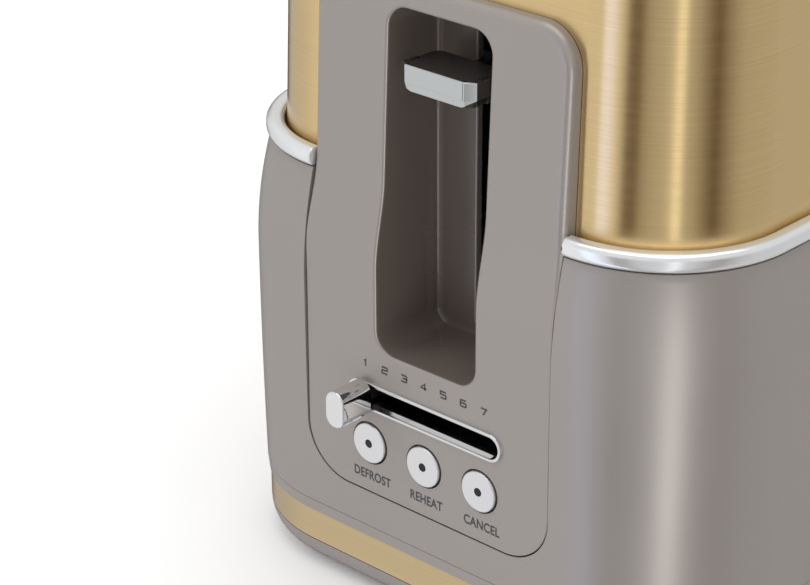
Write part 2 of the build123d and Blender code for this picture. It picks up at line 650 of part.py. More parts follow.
with BuildPart() as chassis_rear:
    plate = CHAMBER_REAR + CHASSIS_SHEET
    block(-CHASSIS_HALF_WIDTH, CHASSIS_HALF_WIDTH, CHAMBER_REAR, plate, CHASSIS_BOTTOM, CHASSIS_TOP)
    for side in (-1, 1):
        block(side * 65.5 - 6.5, side * 65.5 + 6.5, CHAMBER_REAR, plate, CHASSIS_BOTTOM, 34)
        block(side * 65.5 - 6.5, side * 65.5 + 6.5, CHAMBER_REAR, 224, CHASSIS_BOTTOM, CHASSIS_BOTTOM + 1)
    for x, distance in POST_PLACES:
        bar_up(x, distance, 20, 24, 1.55, mode=Mode.SUBTRACT)
    chassis_cuts(CHAMBER_REAR - 1, plate + 1)
save(chassis_rear, "chassis_rear")

for name, side in (("left", -1), ("right", 1)):
    with BuildPart() as reflector:
        block(side * 58.5 - 0.3, side * 58.5 + 0.3, CHAMBER_FRONT, CHAMBER_REAR, 24, 196)
        with BuildSketch(seen_from_side(side * 58.5)) as louvres:
            with Locations((mid_depth(CHAMBER_FRONT, CHAMBER_REAR), 110)):
                with GridLocations(36, 34, 4, 4):
                    SlotOverall(26, 4)
        extrude(amount=2, both=True, mode=Mode.SUBTRACT)
    save(reflector, f"reflector_{name}")

# ---------------------------------------------------------------- heaters
RIBBON_Z = [52 + 15 * turn for turn in range(9)]
HEATERS = (("left", -HEATER_X, (1,)), ("centre", 0.0, (-1, 1)), ("right", HEATER_X, (-1,)))
for name, x, faces in HEATERS:
    with BuildPart() as card:
        block(x - 0.4, x + 0.4, CHAMBER_FRONT, CHAMBER_REAR, 40, 188)
        for z in RIBBON_Z:
            block(x - 1, x + 1, CHAMBER_FRONT, CHAMBER_FRONT + 4, z - 1.6, z + 1.6, mode=Mode.SUBTRACT)
            block(x - 1, x + 1, CHAMBER_REAR - 4, CHAMBER_REAR, z - 1.6, z + 1.6, mode=Mode.SUBTRACT)
    save(card, f"heater_card_{name}")
    # each turn of ribbon goes round the card through a notch in both edges, and two strips join the turns
    with BuildPart() as winding:
        near = CHAMBER_FRONT + 2.6
        far = CHAMBER_REAR - 2.6
        for z in RIBBON_Z:
            block(x - 0.9, x + 0.9, near, far, z - 1.0, z + 1.0)
            block(x - 0.5, x + 0.5, near + 0.8, far - 0.8, z - 2, z + 2, mode=Mode.SUBTRACT)
        for face in faces:
            low = min(face * 0.5, face * 0.9)
            block(x + low, x + low + 0.4, near + 6, near + 8, RIBBON_Z[0] - 1, RIBBON_Z[-1] + 1)
    save(winding, f"heater_winding_{name}")

# ---------------------------------------------------------------- bread guards, which turn on their lowest bar
GUARD_NAMES = ("left_inner", "left_outer", "right_inner", "right_outer")
for name, x in zip(GUARD_NAMES, slot_edges_x()):
    with BuildPart() as guard:
        bar_back(x, GUARD_PIVOT_Z, CHAMBER_FRONT - 3, CHAMBER_REAR + 3, PIVOT_RADIUS)
        bar_back(x, GUARD_TOP, CHAMBER_FRONT + 4, CHAMBER_REAR - 4, WIRE_RADIUS)
        for distance in range(70, 211, 14):
            bar_up(x, distance - 2, GUARD_PIVOT_Z, GUARD_TOP, WIRE_RADIUS * 0.9)
    save(guard, f"bread_guard_{name}")

# ================================================================ lever and carriage
PADDLE_Z = (PADDLE_BOTTOM + PADDLE_TOP) / 2


def cap_plan(inset):
    """Plan of the cap moved in by an inset, in the sketch being drawn: its two front corners are cut off."""
    half = PADDLE_HALF_WIDTH - inset
    near = depth(PADDLE_FRONT + inset)
    far = depth(PADDLE_FRONT + CAP_DEPTH)
    cut = CAP_CHAMFER - 0.4 * inset
    Polygon(
        (-half, far),
        (-half, near + cut),
        (cut - half, near),
        (half - cut, near),
        (half, near + cut),
        (half, far),
        align=None,
    )


with BuildPart() as lever_paddle:
    with BuildSketch(Plane.XY.offset(PADDLE_BOTTOM)) as grip_plan:
        cap_plan(CAP_THICK)
    extrude(amount=PADDLE_TOP - PADDLE_BOTTOM)
    side = PADDLE_HALF_WIDTH - 0.4
    block(-side, side, PADDLE_FRONT + CAP_DEPTH, PADDLE_BACK, PADDLE_BOTTOM, PADDLE_TOP)
    fillet(lever_paddle.edges().filter_by(Axis.Z).group_by(Axis.Y)[-1], 2.5)
    fillet(lever_paddle.faces().sort_by(Axis.Z)[-1].edges().sort_by(Axis.Y)[-1], 1.0)
    block(-1.6, 1.6, 8.5, 30, PADDLE_Z - 2.1, PADDLE_Z + 2.1, mode=Mode.SUBTRACT)
save(lever_paddle, "lever_paddle")

with BuildPart() as lever_cap:
    with BuildSketch(Plane.XY.offset(PADDLE_BOTTOM)) as cap_outline:
        cap_plan(0)
    extrude(amount=PADDLE_TOP - PADDLE_BOTTOM)
    fillet(lever_cap.edges().filter_by(Axis.Y).group_by(Axis.Z)[0], 0.6)
    with BuildSketch(Plane.XY.offset(PADDLE_BOTTOM - 1)) as cap_inside:
        cap_plan(CAP_THICK)
    extrude(amount=PADDLE_TOP - PADDLE_BOTTOM + 2, mode=Mode.SUBTRACT)
save(lever_cap, "lever_cap")

with BuildPart() as carriage:
    face = CARRIAGE_DEPTH
    rear = CARRIAGE_DEPTH + CARRIAGE_SHEET
    block(-37, 37, face, rear, CARRIAGE_BOTTOM, 120)
    block(-6, 6, face, rear, 118, 162)
    block(-ARM_THICK / 2, ARM_THICK / 2, 24, face + 0.5, 151, 161)
    block(-ARM_THICK / 2, ARM_THICK / 2, 9, 24, PADDLE_Z - 2.05, PADDLE_Z + 2.05)
    block(ROD_X - 7, ROD_X + 7, 33, face + 0.5, 114, 116)
    bar_up(ROD_X, ROD_DEPTH, 112, 118, BUSH_RADIUS, mode=Mode.SUBTRACT)
save(carriage, "carriage")

with BuildPart() as carriage_bush:
    bar_up(ROD_X, ROD_DEPTH, BUSH_BOTTOM, 126, BUSH_RADIUS)
    bar_up(ROD_X, ROD_DEPTH, BUSH_BOTTOM, 114, BUSH_RADIUS + 1.2)
    bar_up(ROD_X, ROD_DEPTH, 100, 130, ROD_RADIUS + FIT, mode=Mode.SUBTRACT)
save(carriage_bush, "carriage_bush")

with BuildPart() as keeper_plate:
    block(-34, -16, 39, CARRIAGE_DEPTH, CARRIAGE_BOTTOM, CARRIAGE_BOTTOM + 2)
    block(-30, -20, CARRIAGE_DEPTH - 1.2, CARRIAGE_DEPTH, CARRIAGE_BOTTOM, CARRIAGE_BOTTOM + 12)
save(keeper_plate, "keeper_plate")

for name, side in (("left", -1), ("right", 1)):
    with BuildPart() as rack:
        x = side * SLOT_X
        block(x - 0.6, x + 0.6, CARRIAGE_DEPTH + CARRIAGE_SHEET, CHAMBER_REAR + 5, 105, 111)
        for distance in range(74, 206, 16):
            bar_across(x - 8, x + 8, distance, RACK_TOP - WIRE_RADIUS, WIRE_RADIUS)
    save(rack, f"bread_rack_{name}")

with BuildPart() as guide_rod:
    bar_up(ROD_X, ROD_DEPTH, 17, 189, ROD_RADIUS)
save(guide_rod, "guide_rod")

with BuildPart() as rod_clips:
    for z in (18.2, 187.0):
        bar_up(ROD_X, ROD_DEPTH, z, z + 0.8, 4.0)
        bar_up(ROD_X, ROD_DEPTH, z, z + 0.8, ROD_RADIUS, mode=Mode.SUBTRACT)
        block(ROD_X - 1.2, ROD_X + 1.2, 30, ROD_DEPTH, z, z + 0.8, mode=Mode.SUBTRACT)
save(rod_clips, "rod_clips")

SPRING_TURNS = 13
SPRING_WIRE = 0.5
SPRING_RADIUS = 3.6
with BuildPart() as return_spring:
    spring_height = BUSH_BOTTOM - SHELF_Z - 2 * SPRING_WIRE
    with BuildLine(Plane.XY) as coil:
        Helix(
            spring_height / SPRING_TURNS,
            spring_height,
            SPRING_RADIUS,
            center=(ROD_X, depth(ROD_DEPTH), SHELF_Z + SPRING_WIRE),
        )
    with BuildSketch(Plane(origin=coil.wire() @ 0, z_dir=coil.wire() % 0)) as wire_end:
        Circle(SPRING_WIRE)
    sweep(path=coil.wire(), is_frenet=True)
save(return_spring, "return_spring")

# ================================================================ electrical parts
with BuildPart() as magnet_core:
    block(-33, -17, 41, 49, SHELF_Z, 24.0)
    for x in (-31.0, -19.0):
        block(x - 2, x + 2, 41, 49, 23.0, MAGNET_TOP)
save(magnet_core, "magnet_core")

with BuildPart() as magnet_coil:
    block(-35.5, -26.5, 38.5, 51.5, 24.2, 34.0)
    fillet(magnet_coil.edges().filter_by(Axis.Z), 2.0)
    block(-33.1, -28.9, 40.9, 49.1, 20, 40, mode=Mode.SUBTRACT)
save(magnet_coil, "magnet_coil")

with BuildPart() as main_switch:
    block(26, 38, 40, 56, SHELF_Z, 30)
    for x in (28.5, 32.0, 35.5):
        block(x - 1, x + 1, 42, 42.6, 28, 34.8)
        block(x - 1, x + 1, 42, 50, 34.2, 34.8)
save(main_switch, "main_switch")

with BuildPart() as terminal_block:
    block(-22, 22, CHAMBER_REAR + CHASSIS_SHEET, 228, 50, 62)
    for x in (-14, 0, 14):
        block(x - 5, x + 5, 220, 230, 56, 70, mode=Mode.SUBTRACT)
save(terminal_block, "terminal_block")

with BuildPart() as terminal_screws:
    for x in (-14, 0, 14):
        bar_up(x, 224, 56, 60, 2.6)
        with Locations((x, depth(224), 60)):
            Box(4.0, 0.7, 1.4, mode=Mode.SUBTRACT)
save(terminal_screws, "terminal_screws")
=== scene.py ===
"""Looks of the two-slice pop up toaster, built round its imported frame.

+Z up and the control panel faces -Y. Sizes are millimetres, and places are X, depth behind the front
plane of the control panel, and Z. `place` turns them into the frame's metres.
"""
import json
import math

import bmesh
import bpy
import numpy as np
from mathutils import Matrix, Vector


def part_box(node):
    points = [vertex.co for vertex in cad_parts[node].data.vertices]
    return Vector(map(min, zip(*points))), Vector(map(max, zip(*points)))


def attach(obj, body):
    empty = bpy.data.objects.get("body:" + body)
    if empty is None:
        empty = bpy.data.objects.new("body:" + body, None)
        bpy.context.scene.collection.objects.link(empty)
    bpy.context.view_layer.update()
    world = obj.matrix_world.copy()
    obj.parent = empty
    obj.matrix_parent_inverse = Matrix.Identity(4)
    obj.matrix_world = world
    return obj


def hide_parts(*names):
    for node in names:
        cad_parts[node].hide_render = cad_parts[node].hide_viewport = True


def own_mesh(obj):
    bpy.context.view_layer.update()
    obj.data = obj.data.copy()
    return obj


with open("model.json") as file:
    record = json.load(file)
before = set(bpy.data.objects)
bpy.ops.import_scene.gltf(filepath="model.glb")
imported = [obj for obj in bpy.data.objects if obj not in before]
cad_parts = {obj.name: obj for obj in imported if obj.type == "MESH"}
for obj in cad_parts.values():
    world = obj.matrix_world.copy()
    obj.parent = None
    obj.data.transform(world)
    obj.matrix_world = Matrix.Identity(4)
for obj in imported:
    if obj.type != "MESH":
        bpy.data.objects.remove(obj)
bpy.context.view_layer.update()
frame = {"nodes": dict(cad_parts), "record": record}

MM = 0.001
scene = bpy.context.scene
cad_nodes = frame["nodes"]
PANEL_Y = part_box("control_panel")[0].y

# ---------------------------------------------------------------- sizes of the new pieces, as in the part
PANEL_HALF_WIDTH = 43.2
PANEL_LOW, PANEL_HIGH = 34.3, 180.8
PANEL_LOW_RADIUS, PANEL_HIGH_RADIUS = 14.9, 11.6
PANEL_WALL = 2.5
BEND_LOW, BEND_HIGH = 101.0, 126.5     # the face curves back between these heights
BEND_DEPTH, FACE_LEAN = 3.6, 0.0442
RECESS_HALF_WIDTH = 17.4
RECESS_LOW, RECESS_HIGH = 78.2, 174.1
RECESS_RADIUS, RECESS_DEPTH, RECESS_WALL = 6.0, 23.5, 2.0
RECESS_DRAFT = math.tan(math.radians(2.9))
LEVER_SLOT = (2.6, 82.0, 172.0)
BUTTON_Z, BUTTON_PITCH, BUTTON_RADIUS, BUTTON_GAP = 49.5, 19.8, 5.85, 0.5
SLIDER_Z, SLIDER_X = 64.0, -21.25
RING_START, RING_HALF_WIDTH, RING_FRONT, RING_REAR, RING_RADIUS = 43.55, 83.6, 2.5, 272.95, 39.6
RING_LOW, RING_HIGH, RING_DEPTH = 123.2, 128.4, 5.2
PADDLE_LOW, PADDLE_HIGH, PADDLE_HALF_WIDTH, PADDLE_FRONT = 153.1, 160.3, 12.7, 3.9
BAND_ACROSS, BAND_DEEP, BAND_REAR = 2.6, 2.0, 10.9      # cut-off corners of the band, and its ends
BELLY_HALF_WIDTH, BELLY_FRONT, BELLY_REAR, BELLY_RADIUS = 86.7, -0.55, 276.0, 42.7
PANEL_GAP = 0.35
STEEL_FRONT, STEEL_WAIST, STEEL_LEAN = 8.4, 129.0, math.tan(math.radians(1.8))
STEEL_CLEARANCE = 0.12                 # between the panel's back edge and the steel
SHELL_LOW, CREASE_Z, BELLY_Z, SHELL_HIGH = 19.15, 22.9, 93.0, 123.0
GLAND_X, GLAND_Z, GLAND_RADIUS = 34.0, 40.0, 6.1
KNOB_HALF_WIDTH, KNOB_LOW, KNOB_HIGH, KNOB_PROUD = 3.35, 58.4, 69.0, 12.3
FIGURE_X, FIGURE_PITCH, FIGURE_Z = -21.2, 7.04, 72.55
FIGURE_WIDTH, FIGURE_HEIGHT, FIGURE_WEIGHT = 1.95, 1.85, 0.50
LABELS = (("DEFROST", -19.1), ("REHEAT", 0.85), ("CANCEL", 20.65))
LABEL_Z, LABEL_HEIGHT, LABEL_STRETCH = 38.2, 2.8, 0.82
ROD_X, ROD_DEPTH = 12.0, 40.0


# ================================================================ camera
def make_camera():
    """Camera at a three-quarter view from the front right, above the panel."""
    azimuth, elevation = math.radians(42.461), math.radians(24.481)
    back = Vector((
        math.sin(azimuth) * math.cos(elevation),
        -math.cos(azimuth) * math.cos(elevation),
        math.sin(elevation),
    ))
    right = Vector((math.cos(azimuth), math.sin(azimuth), 0))
    up = back.cross(right)
    data = bpy.data.cameras.new("studio_camera")
    data.sensor_width = 36
    data.lens = 113.36
    data.shift_x, data.shift_y = -0.0284, -0.0328
    data.clip_start, data.clip_end = 0.02, 40
    camera = bpy.data.objects.new("studio_camera", data)
    scene.collection.objects.link(camera)
    stand = Vector((405.39 * MM, PANEL_Y - 441.33 * MM, 381.43 * MM))
    camera.matrix_world = Matrix.Translation(stand) @ Matrix((right, up, back)).transposed().to_4x4()
    scene.camera = camera


make_camera()


# ================================================================ shapes worked out as whole arrays
def place(x, depth, z):
    """Points in metres from X, depth behind the panel's front plane and Z, which may be arrays."""
    x, depth, z = np.broadcast_arrays(x, depth, z)
    return np.stack((x * MM, PANEL_Y + depth * MM, z * MM), axis=-1)


def arc(centre, radius, start, end, steps):
    """Points of a circular arc between two angles in degrees, both ends included."""
    angle = np.radians(np.linspace(start, end, steps + 1))
    return np.stack((centre[0] + radius * np.cos(angle), centre[1] + radius * np.sin(angle)), axis=-1)


def outline(
    half_width, low, high, low_radius, high_radius=None, middle=0.0, steps=8, across=10, upright=10
):
    """Closed rounded rectangle, anticlockwise as X and Z: four quarter arcs joined by runs.

    Two outlines with the same counts match point for point, so a surface can be drawn between them.
    """
    high_radius = low_radius if high_radius is None else high_radius
    side, foot, head = half_width, low_radius, high_radius
    corners = (
        arc((middle + side - foot, low + foot), foot, -90, 0, steps),
        arc((middle + side - head, high - head), head, 0, 90, steps),
        arc((middle - side + head, high - head), head, 90, 180, steps),
        arc((middle - side + foot, low + foot), foot, 180, 270, steps),
    )
    loops = []
    for corner, following, run in zip(corners, corners[1:] + corners[:1], (upright, across) * 2):
        share = np.linspace(0, 1, run + 1)[1:-1, None]
        loops += [corner, corner[-1] * (1 - share) + following[0] * share]
    return np.concatenate(loops)


def rectangle(half_width, low, high, radius, **counts):
    """Maker of rounded rectangles, which takes an inset."""
    def loop(inset):
        return outline(half_width - inset, low + inset, high - inset, radius - inset, **counts)
    return loop


def face_depth(z):
    """Depth of the panel's face at a height: upright, then a cubic bend, then leaning back evenly."""
    height = BEND_HIGH - BEND_LOW
    t = np.clip((z - BEND_LOW) / height, 0, 1)
    bend = BEND_DEPTH * (3 * t**2 - 2 * t**3) + height * FACE_LEAN * (t**3 - t**2)
    return bend + FACE_LEAN * np.maximum(z - BEND_HIGH, 0)


def steel_depth(z):
    """Depth of the steel's front face at a height."""
    return STEEL_FRONT + STEEL_LEAN * (z - STEEL_WAIST)


def carried(profile, path, outward):
    """Profile carried along a path on plan: path + outward x offset, at the profile's own height."""
    flat = path[:, None, :] + outward[:, None, :] * profile[None, :, :1]
    return place(flat[..., 0], flat[..., 1], profile[None, :, 1])


def plan_turn(half_width, front, rear, radius, start, steps=40, run=6):
    """Path round a rounded rectangle on plan, from X = start on the front all the way to X = -start.

    Each corner is a quarter arc whose radius points outwards. Returns points and outward directions.
    """
    corners = (
        ((half_width - radius, front + radius), -90),
        ((half_width - radius, rear - radius), 0),
        ((radius - half_width, rear - radius), 90),
        ((radius - half_width, front + radius), 180),
    )
    points, outward = [np.array([[start, front]])], [np.array([[0.0, -1.0]])]
    for centre, angle in corners:
        bend = arc(centre, radius, angle, angle + 90, steps)
        share = np.linspace(0, 1, run + 1)[1:-1, None]
        points += [points[-1][-1] * (1 - share) + bend[0] * share, bend]
        outward += [np.repeat(outward[-1][-1:], run - 1, axis=0), (bend - centre) / radius]
    points.append(np.array([[-start, front]]))
    outward.append(np.array([[0.0, -1.0]]))
    return np.concatenate(points), np.concatenate(outward)


def turned(profile, centre, steps=64):
    """Profile of radius and depth turned about a level axis: centre + radius x (cos, sin) at each depth."""
    angle = np.linspace(0, 2 * math.pi, steps, endpoint=False)[:, None]
    radius, depth = profile[None, :, 0], profile[None, :, 1]
    return place(centre[0] + radius * np.cos(angle), depth, centre[1] + radius * np.sin(angle))


def finish_mesh(mesh, sharp_angle):
    """Merges doubles, turns faces outwards, and shades smooth up to an angle in degrees."""
    work = bmesh.new()
    work.from_mesh(mesh)
    bmesh.ops.remove_doubles(work, verts=work.verts, dist=1e-7)
    bmesh.ops.dissolve_degenerate(work, edges=work.edges, dist=1e-7)
    bmesh.ops.recalc_face_normals(work, faces=work.faces)
    work.to_mesh(mesh)
    work.free()
    mesh.polygons.foreach_set("use_smooth", np.ones(len(mesh.polygons), dtype=bool))
    mesh.set_sharp_from_angle(angle=math.radians(sharp_angle))


def skin(name, grid, close_rows=False, close_columns=True, caps=True, sharp_angle=32):
    """Mesh over a grid of points: rows x columns of quads, closed either way round, its open ends capped."""
    rows, columns = grid.shape[:2]
    index = np.arange(rows * columns).reshape(rows, columns)
    if close_rows:
        index = np.concatenate((index, index[:1]))
    if close_columns:
        index = np.concatenate((index, index[:, :1]), axis=1)
    quads = np.stack((index[:-1, :-1], index[:-1, 1:], index[1:, 1:], index[1:, :-1]), axis=-1)
    faces = quads.reshape(-1, 4).tolist()
    if caps and not close_rows:
        faces += [np.arange(columns).tolist(), (np.arange(columns) + (rows - 1) * columns).tolist()]
    mesh = bpy.data.meshes.new(name)
    mesh.from_pydata(grid.reshape(-1, 3), [], faces)
    finish_mesh(mesh, sharp_angle)
    return mesh


def piece(name, mesh, body, slot, stands_for=(), material=None):
    """New piece: a mesh that rides on a body, wears a slot's material and stands for CAD nodes."""
    made = bpy.data.objects.new(name, mesh)
    scene.collection.objects.link(made)
    mesh.materials.clear()
    mesh.materials.append(material or SLOT_MATERIALS[slot])
    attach(made, body)
    if stands_for:
        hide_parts(*stands_for)
    return made


def joined(name, *meshes):
    """One mesh from several that stay apart from each other."""
    work = bmesh.new()
    for mesh in meshes:
        work.from_mesh(mesh)
        bpy.data.meshes.remove(mesh)
    mesh = bpy.data.meshes.new(name)
    work.to_mesh(mesh)
    work.free()
    return mesh


def drilled(mesh, *cutters, sharp_angle=32):
    """Mesh with the cutters' solids taken out of it."""
    scratch = [bpy.data.objects.new("blank", mesh)]
    scratch += [bpy.data.objects.new("cutter", tool) for tool in cutters]
    for thing in scratch:
        scene.collection.objects.link(thing)
    for tool in scratch[1:]:
        cut = scratch[0].modifiers.new("cut", "BOOLEAN")
        cut.operation, cut.solver, cut.object = "DIFFERENCE", "EXACT", tool
    evaluated = scratch[0].evaluated_get(bpy.context.evaluated_depsgraph_get())
    result = bpy.data.meshes.new_from_object(evaluated)
    result.name = mesh.name
    for thing in scratch:
        bpy.data.objects.remove(thing)
    finish_mesh(result, sharp_angle)
    return result


def rounded_loft(name, shape, near, far, near_edge, far_edge=0.0, steps=5, sharp_angle=32):
    """Bar along the depth with rounded ends: outlines inset by edge x (1 - cos) at edge x (1 - sin) deep.

    `shape` gives the outline for an inset.
    """
    angle = np.linspace(0, math.pi / 2, steps + 1)
    # a ring close inside each rounded end keeps its flat face flat
    inside = 0.08
    rings = [(near_edge + inside, near)] if near_edge else []
    rings += [(near_edge * (1 - np.sin(a)), near + near_edge * (1 - np.cos(a))) for a in angle]
    if far_edge:
        rings += [(far_edge * (1 - np.cos(a)), far - far_edge * (1 - np.sin(a))) for a in angle]
        rings.append((far_edge + inside, far))
    else:
        rings.append((0.0, far))
    grids = []
    for inset, distance in rings:
        loop = shape(inset)
        grids.append(place(loop[:, 0], distance, loop[:, 1]))
    return skin(name, np.array(grids), sharp_angle=sharp_angle)


def stadium(length, height, x=0.0, z=SLIDER_Z, steps=12):
    """Maker of outlines with half round ends, which takes an inset."""
    def loop(inset):
        half, tall = length / 2 - inset, height / 2 - inset
        return outline(half, z - tall, z + tall, tall - 1e-4, middle=x, steps=steps, upright=2)
    return loop


# ================================================================ finishes
def material_with(name, **settings):
    """New Principled material with numbers set on the shader's own sockets.

    Returns the material, its tree and its shader.
    """
    material = bpy.data.materials.new(name)
    material.use_nodes = True
    tree = material.node_tree
    principled = tree.nodes["Principled BSDF"]
    for key, value in settings.items():
        principled.inputs[key.replace("_", " ")].default_value = value
    return material, tree, principled


def add_node(tree, kind, inputs=None, **attributes):
    """Adds a node, with its attributes set and its inputs given as values or as sockets to link from."""
    made = tree.nodes.new(kind)
    for key, value in attributes.items():
        setattr(made, key, value)
    for key, value in (inputs or {}).items():
        if isinstance(value, bpy.types.NodeSocket):
            tree.links.new(value, made.inputs[key])
        else:
            made.inputs[key].default_value = value
    return made


def noise(tree, scale, detail):
    """Noise over the object's own place, with a scale per metre along each axis."""
    spot = add_node(tree, "ShaderNodeTexCoord").outputs["Object"]
    spread = add_node(tree, "ShaderNodeMapping", {"Vector": spot, "Scale": scale}).outputs["Vector"]
    grain = add_node(tree, "ShaderNodeTexNoise", {"Vector": spread, "Scale": 1.0, "Detail": detail})
    return grain.outputs["Fac"]


def vary_color(tree, principled, amount, color, swing):
    """Base colour that swings about its middle value by a share, with the noise."""
    ramp = add_node(tree, "ShaderNodeValToRGB", {"Fac": amount})
    ends = ramp.color_ramp.elements
    ends[0].position, ends[1].position = 0.3, 0.7
    ends[0].color = (*(channel * (1 - swing) for channel in color), 1)
    ends[1].color = (*(min(1.0, channel * (1 + swing)) for channel in color), 1)
    tree.links.new(ramp.outputs["Color"], principled.inputs["Base Color"])


def vary_gloss(tree, principled, amount, roughness, swing):
    """Roughness that swings about its middle value, with the noise."""
    span = add_node(tree, "ShaderNodeMapRange", {
        "Value": amount, "From Min": 0.3, "From Max": 0.7,
        "To Min": max(0.01, roughness - swing), "To Max": roughness + swing,
    })
    tree.links.new(span.outputs["Result"], principled.inputs["Roughness"])


def raise_grain(tree, principled, height, strength, depth):
    """Bump from a height."""
    grain = add_node(tree, "ShaderNodeBump", {"Height": height, "Strength": strength, "Distance": depth * MM})
    tree.links.new(grain.outputs["Normal"], principled.inputs["Normal"])


def moulding(name, color, roughness, metallic=0.0, grain=0.012, specular=0.5):
    """Moulded plastic: fine spark-eroded grain, and faint clouds of colour and gloss."""
    material, tree, principled = material_with(name, Metallic=metallic, Specular_IOR_Level=specular)
    clouds = noise(tree, (18, 18, 18), 3.0)
    vary_color(tree, principled, clouds, color, 0.015)
    vary_gloss(tree, principled, clouds, roughness, 0.02)
    raise_grain(tree, principled, noise(tree, (2800, 2800, 2800), 2.0), 0.3, grain)
    return material


def brushing(name, color, roughness, scratch=(25, 25, 4200), swing=0.05, coat=0.3):
    """Brushed and lacquered steel: hair lines level with the ground smear what it mirrors up and down."""
    material, tree, principled = material_with(
        name, Metallic=1.0, Anisotropic=0.9, Anisotropic_Rotation=0.25, Coat_Weight=coat, Coat_Roughness=0.12
    )
    lines = noise(tree, scratch, 4.0)
    vary_color(tree, principled, lines, color, swing)
    vary_gloss(tree, principled, noise(tree, (9, 9, 700), 3.0), roughness, 0.02)
    raise_grain(tree, principled, lines, 0.12, 0.004)
    return material


def metal(name, color, roughness, swing=0.02, speck=60):
    """Plated or rolled metal with faint smudges in its gloss."""
    material, tree, principled = material_with(name, Metallic=1.0)
    principled.inputs["Base Color"].default_value = (*color, 1)
    vary_gloss(tree, principled, noise(tree, (speck, speck, speck), 4.0), roughness, swing)
    return material


TAUPE = moulding("taupe_satin_moulding", (0.333, 0.304, 0.283), 0.35, metallic=0.42)
# painted shade: a darker copy of the taupe moulding for the deep lever recess, which is the same plastic in
# shade
PAINTED_SHADE_TAUPE = moulding("painted_shade_taupe_recess", (0.118, 0.095, 0.081), 0.27, specular=0.55)
GOLD = brushing("gold_brushed_steel", (0.78, 0.575, 0.285), 0.24)
GOLD_STRIP = brushing("gold_strip_steel", (0.66, 0.50, 0.285), 0.30)
CHROME = metal("chrome_plate", (0.87, 0.87, 0.88), 0.04, 0.01)
PEARL_CHROME, _, ring_shader = material_with("pearl_chrome_ring", Metallic=0.62, Roughness=0.16)
ring_shader.inputs["Base Color"].default_value = (0.86, 0.87, 0.88, 1)
SATIN_BAND = metal("satin_lever_band", (0.62, 0.64, 0.64), 0.22, 0.02)
SATIN_TRIM = metal("satin_way_trim", (0.80, 0.80, 0.80), 0.16, 0.02)
BLACKENED = metal("blackened_carriage", (0.06, 0.06, 0.06), 0.45)
SILVER = metal("silvered_buttons", (0.86, 0.85, 0.84), 0.38, 0.04, 40)
CHARCOAL = moulding("charcoal_moulding", (0.036, 0.032, 0.030), 0.36)
BLACK = moulding("black_moulding", (0.012, 0.012, 0.012), 0.45)
SURROUND = moulding("slot_surround_enamel", (0.040, 0.036, 0.034), 0.30)
PRINT = moulding("dark_grey_ink", (0.048, 0.050, 0.057), 0.55, grain=0.002)

SLOT_MATERIALS = {
    "taupe_moulding": TAUPE,
    "gold_steel": GOLD,
    "chrome_trim": CHROME,
    "satin_chrome": SILVER,
    "charcoal_moulding": CHARCOAL,
    "surround_enamel": SURROUND,
    "black_moulding": BLACK,
    "rubber": moulding("black_rubber", (0.020, 0.020, 0.021), 0.75, grain=0.03),
    "galvanised": metal("zinc_plated_sheet", (0.56, 0.57, 0.58), 0.36, 0.08, 120),
    "reflector": metal("bright_tinned_sheet", (0.80, 0.79, 0.77), 0.20, 0.06),
    "mica": moulding("mica_card", (0.50, 0.42, 0.30), 0.42, grain=0.04),
    "nichrome": metal("heating_ribbon", (0.28, 0.25, 0.23), 0.42, 0.08),
    "wire": metal("plated_wire", (0.62, 0.62, 0.61), 0.24, 0.05),
    "spring_steel": metal("spring_wire", (0.50, 0.50, 0.50), 0.28, 0.05),
    "lens": moulding("smoked_lens", (0.012, 0.012, 0.013), 0.3, grain=0.001, specular=0.3),
    "board": moulding("circuit_board_lacquer", (0.006, 0.009, 0.007), 0.40),
    "natural_moulding": moulding("natural_nylon", (0.60, 0.57, 0.48), 0.42),
    "copper": metal("enamelled_copper", (0.58, 0.24, 0.11), 0.30, 0.06),
    "brass": metal("turned_brass", (0.68, 0.48, 0.18), 0.26, 0.06),
    "lamp": moulding("clear_lamp_resin", (0.55, 0.50, 0.46), 0.15, grain=0.001),
}

SPECIAL_MATERIALS = {"base_strip": GOLD_STRIP, "slider_carrier": BLACK, "carriage": BLACKENED}
SLOT_OF = {entry["node"]: entry["material_slot"] for entry in frame["record"]["subparts"]}
for name, cad in cad_nodes.items():
    cad.data.materials.clear()
    cad.data.materials.append(SPECIAL_MATERIALS.get(name, SLOT_MATERIALS[SLOT_OF[name]]))


# ================================================================ control panel
def panel_outline(inset):
    """Outline of the panel moved in by an inset."""
    return outline(
        PANEL_HALF_WIDTH - inset, PANEL_LOW + inset, PANEL_HIGH - inset,
        PANEL_LOW_RADIUS - inset, PANEL_HIGH_RADIUS - inset, steps=14, across=24, upright=80,
    )


def recess_outline(margin):
    """Outline of the lever recess grown by a margin."""
    return outline(
        RECESS_HALF_WIDTH + margin, RECESS_LOW - margin, RECESS_HIGH + margin,
        RECESS_RADIUS + margin, steps=14, across=24, upright=80,
    )


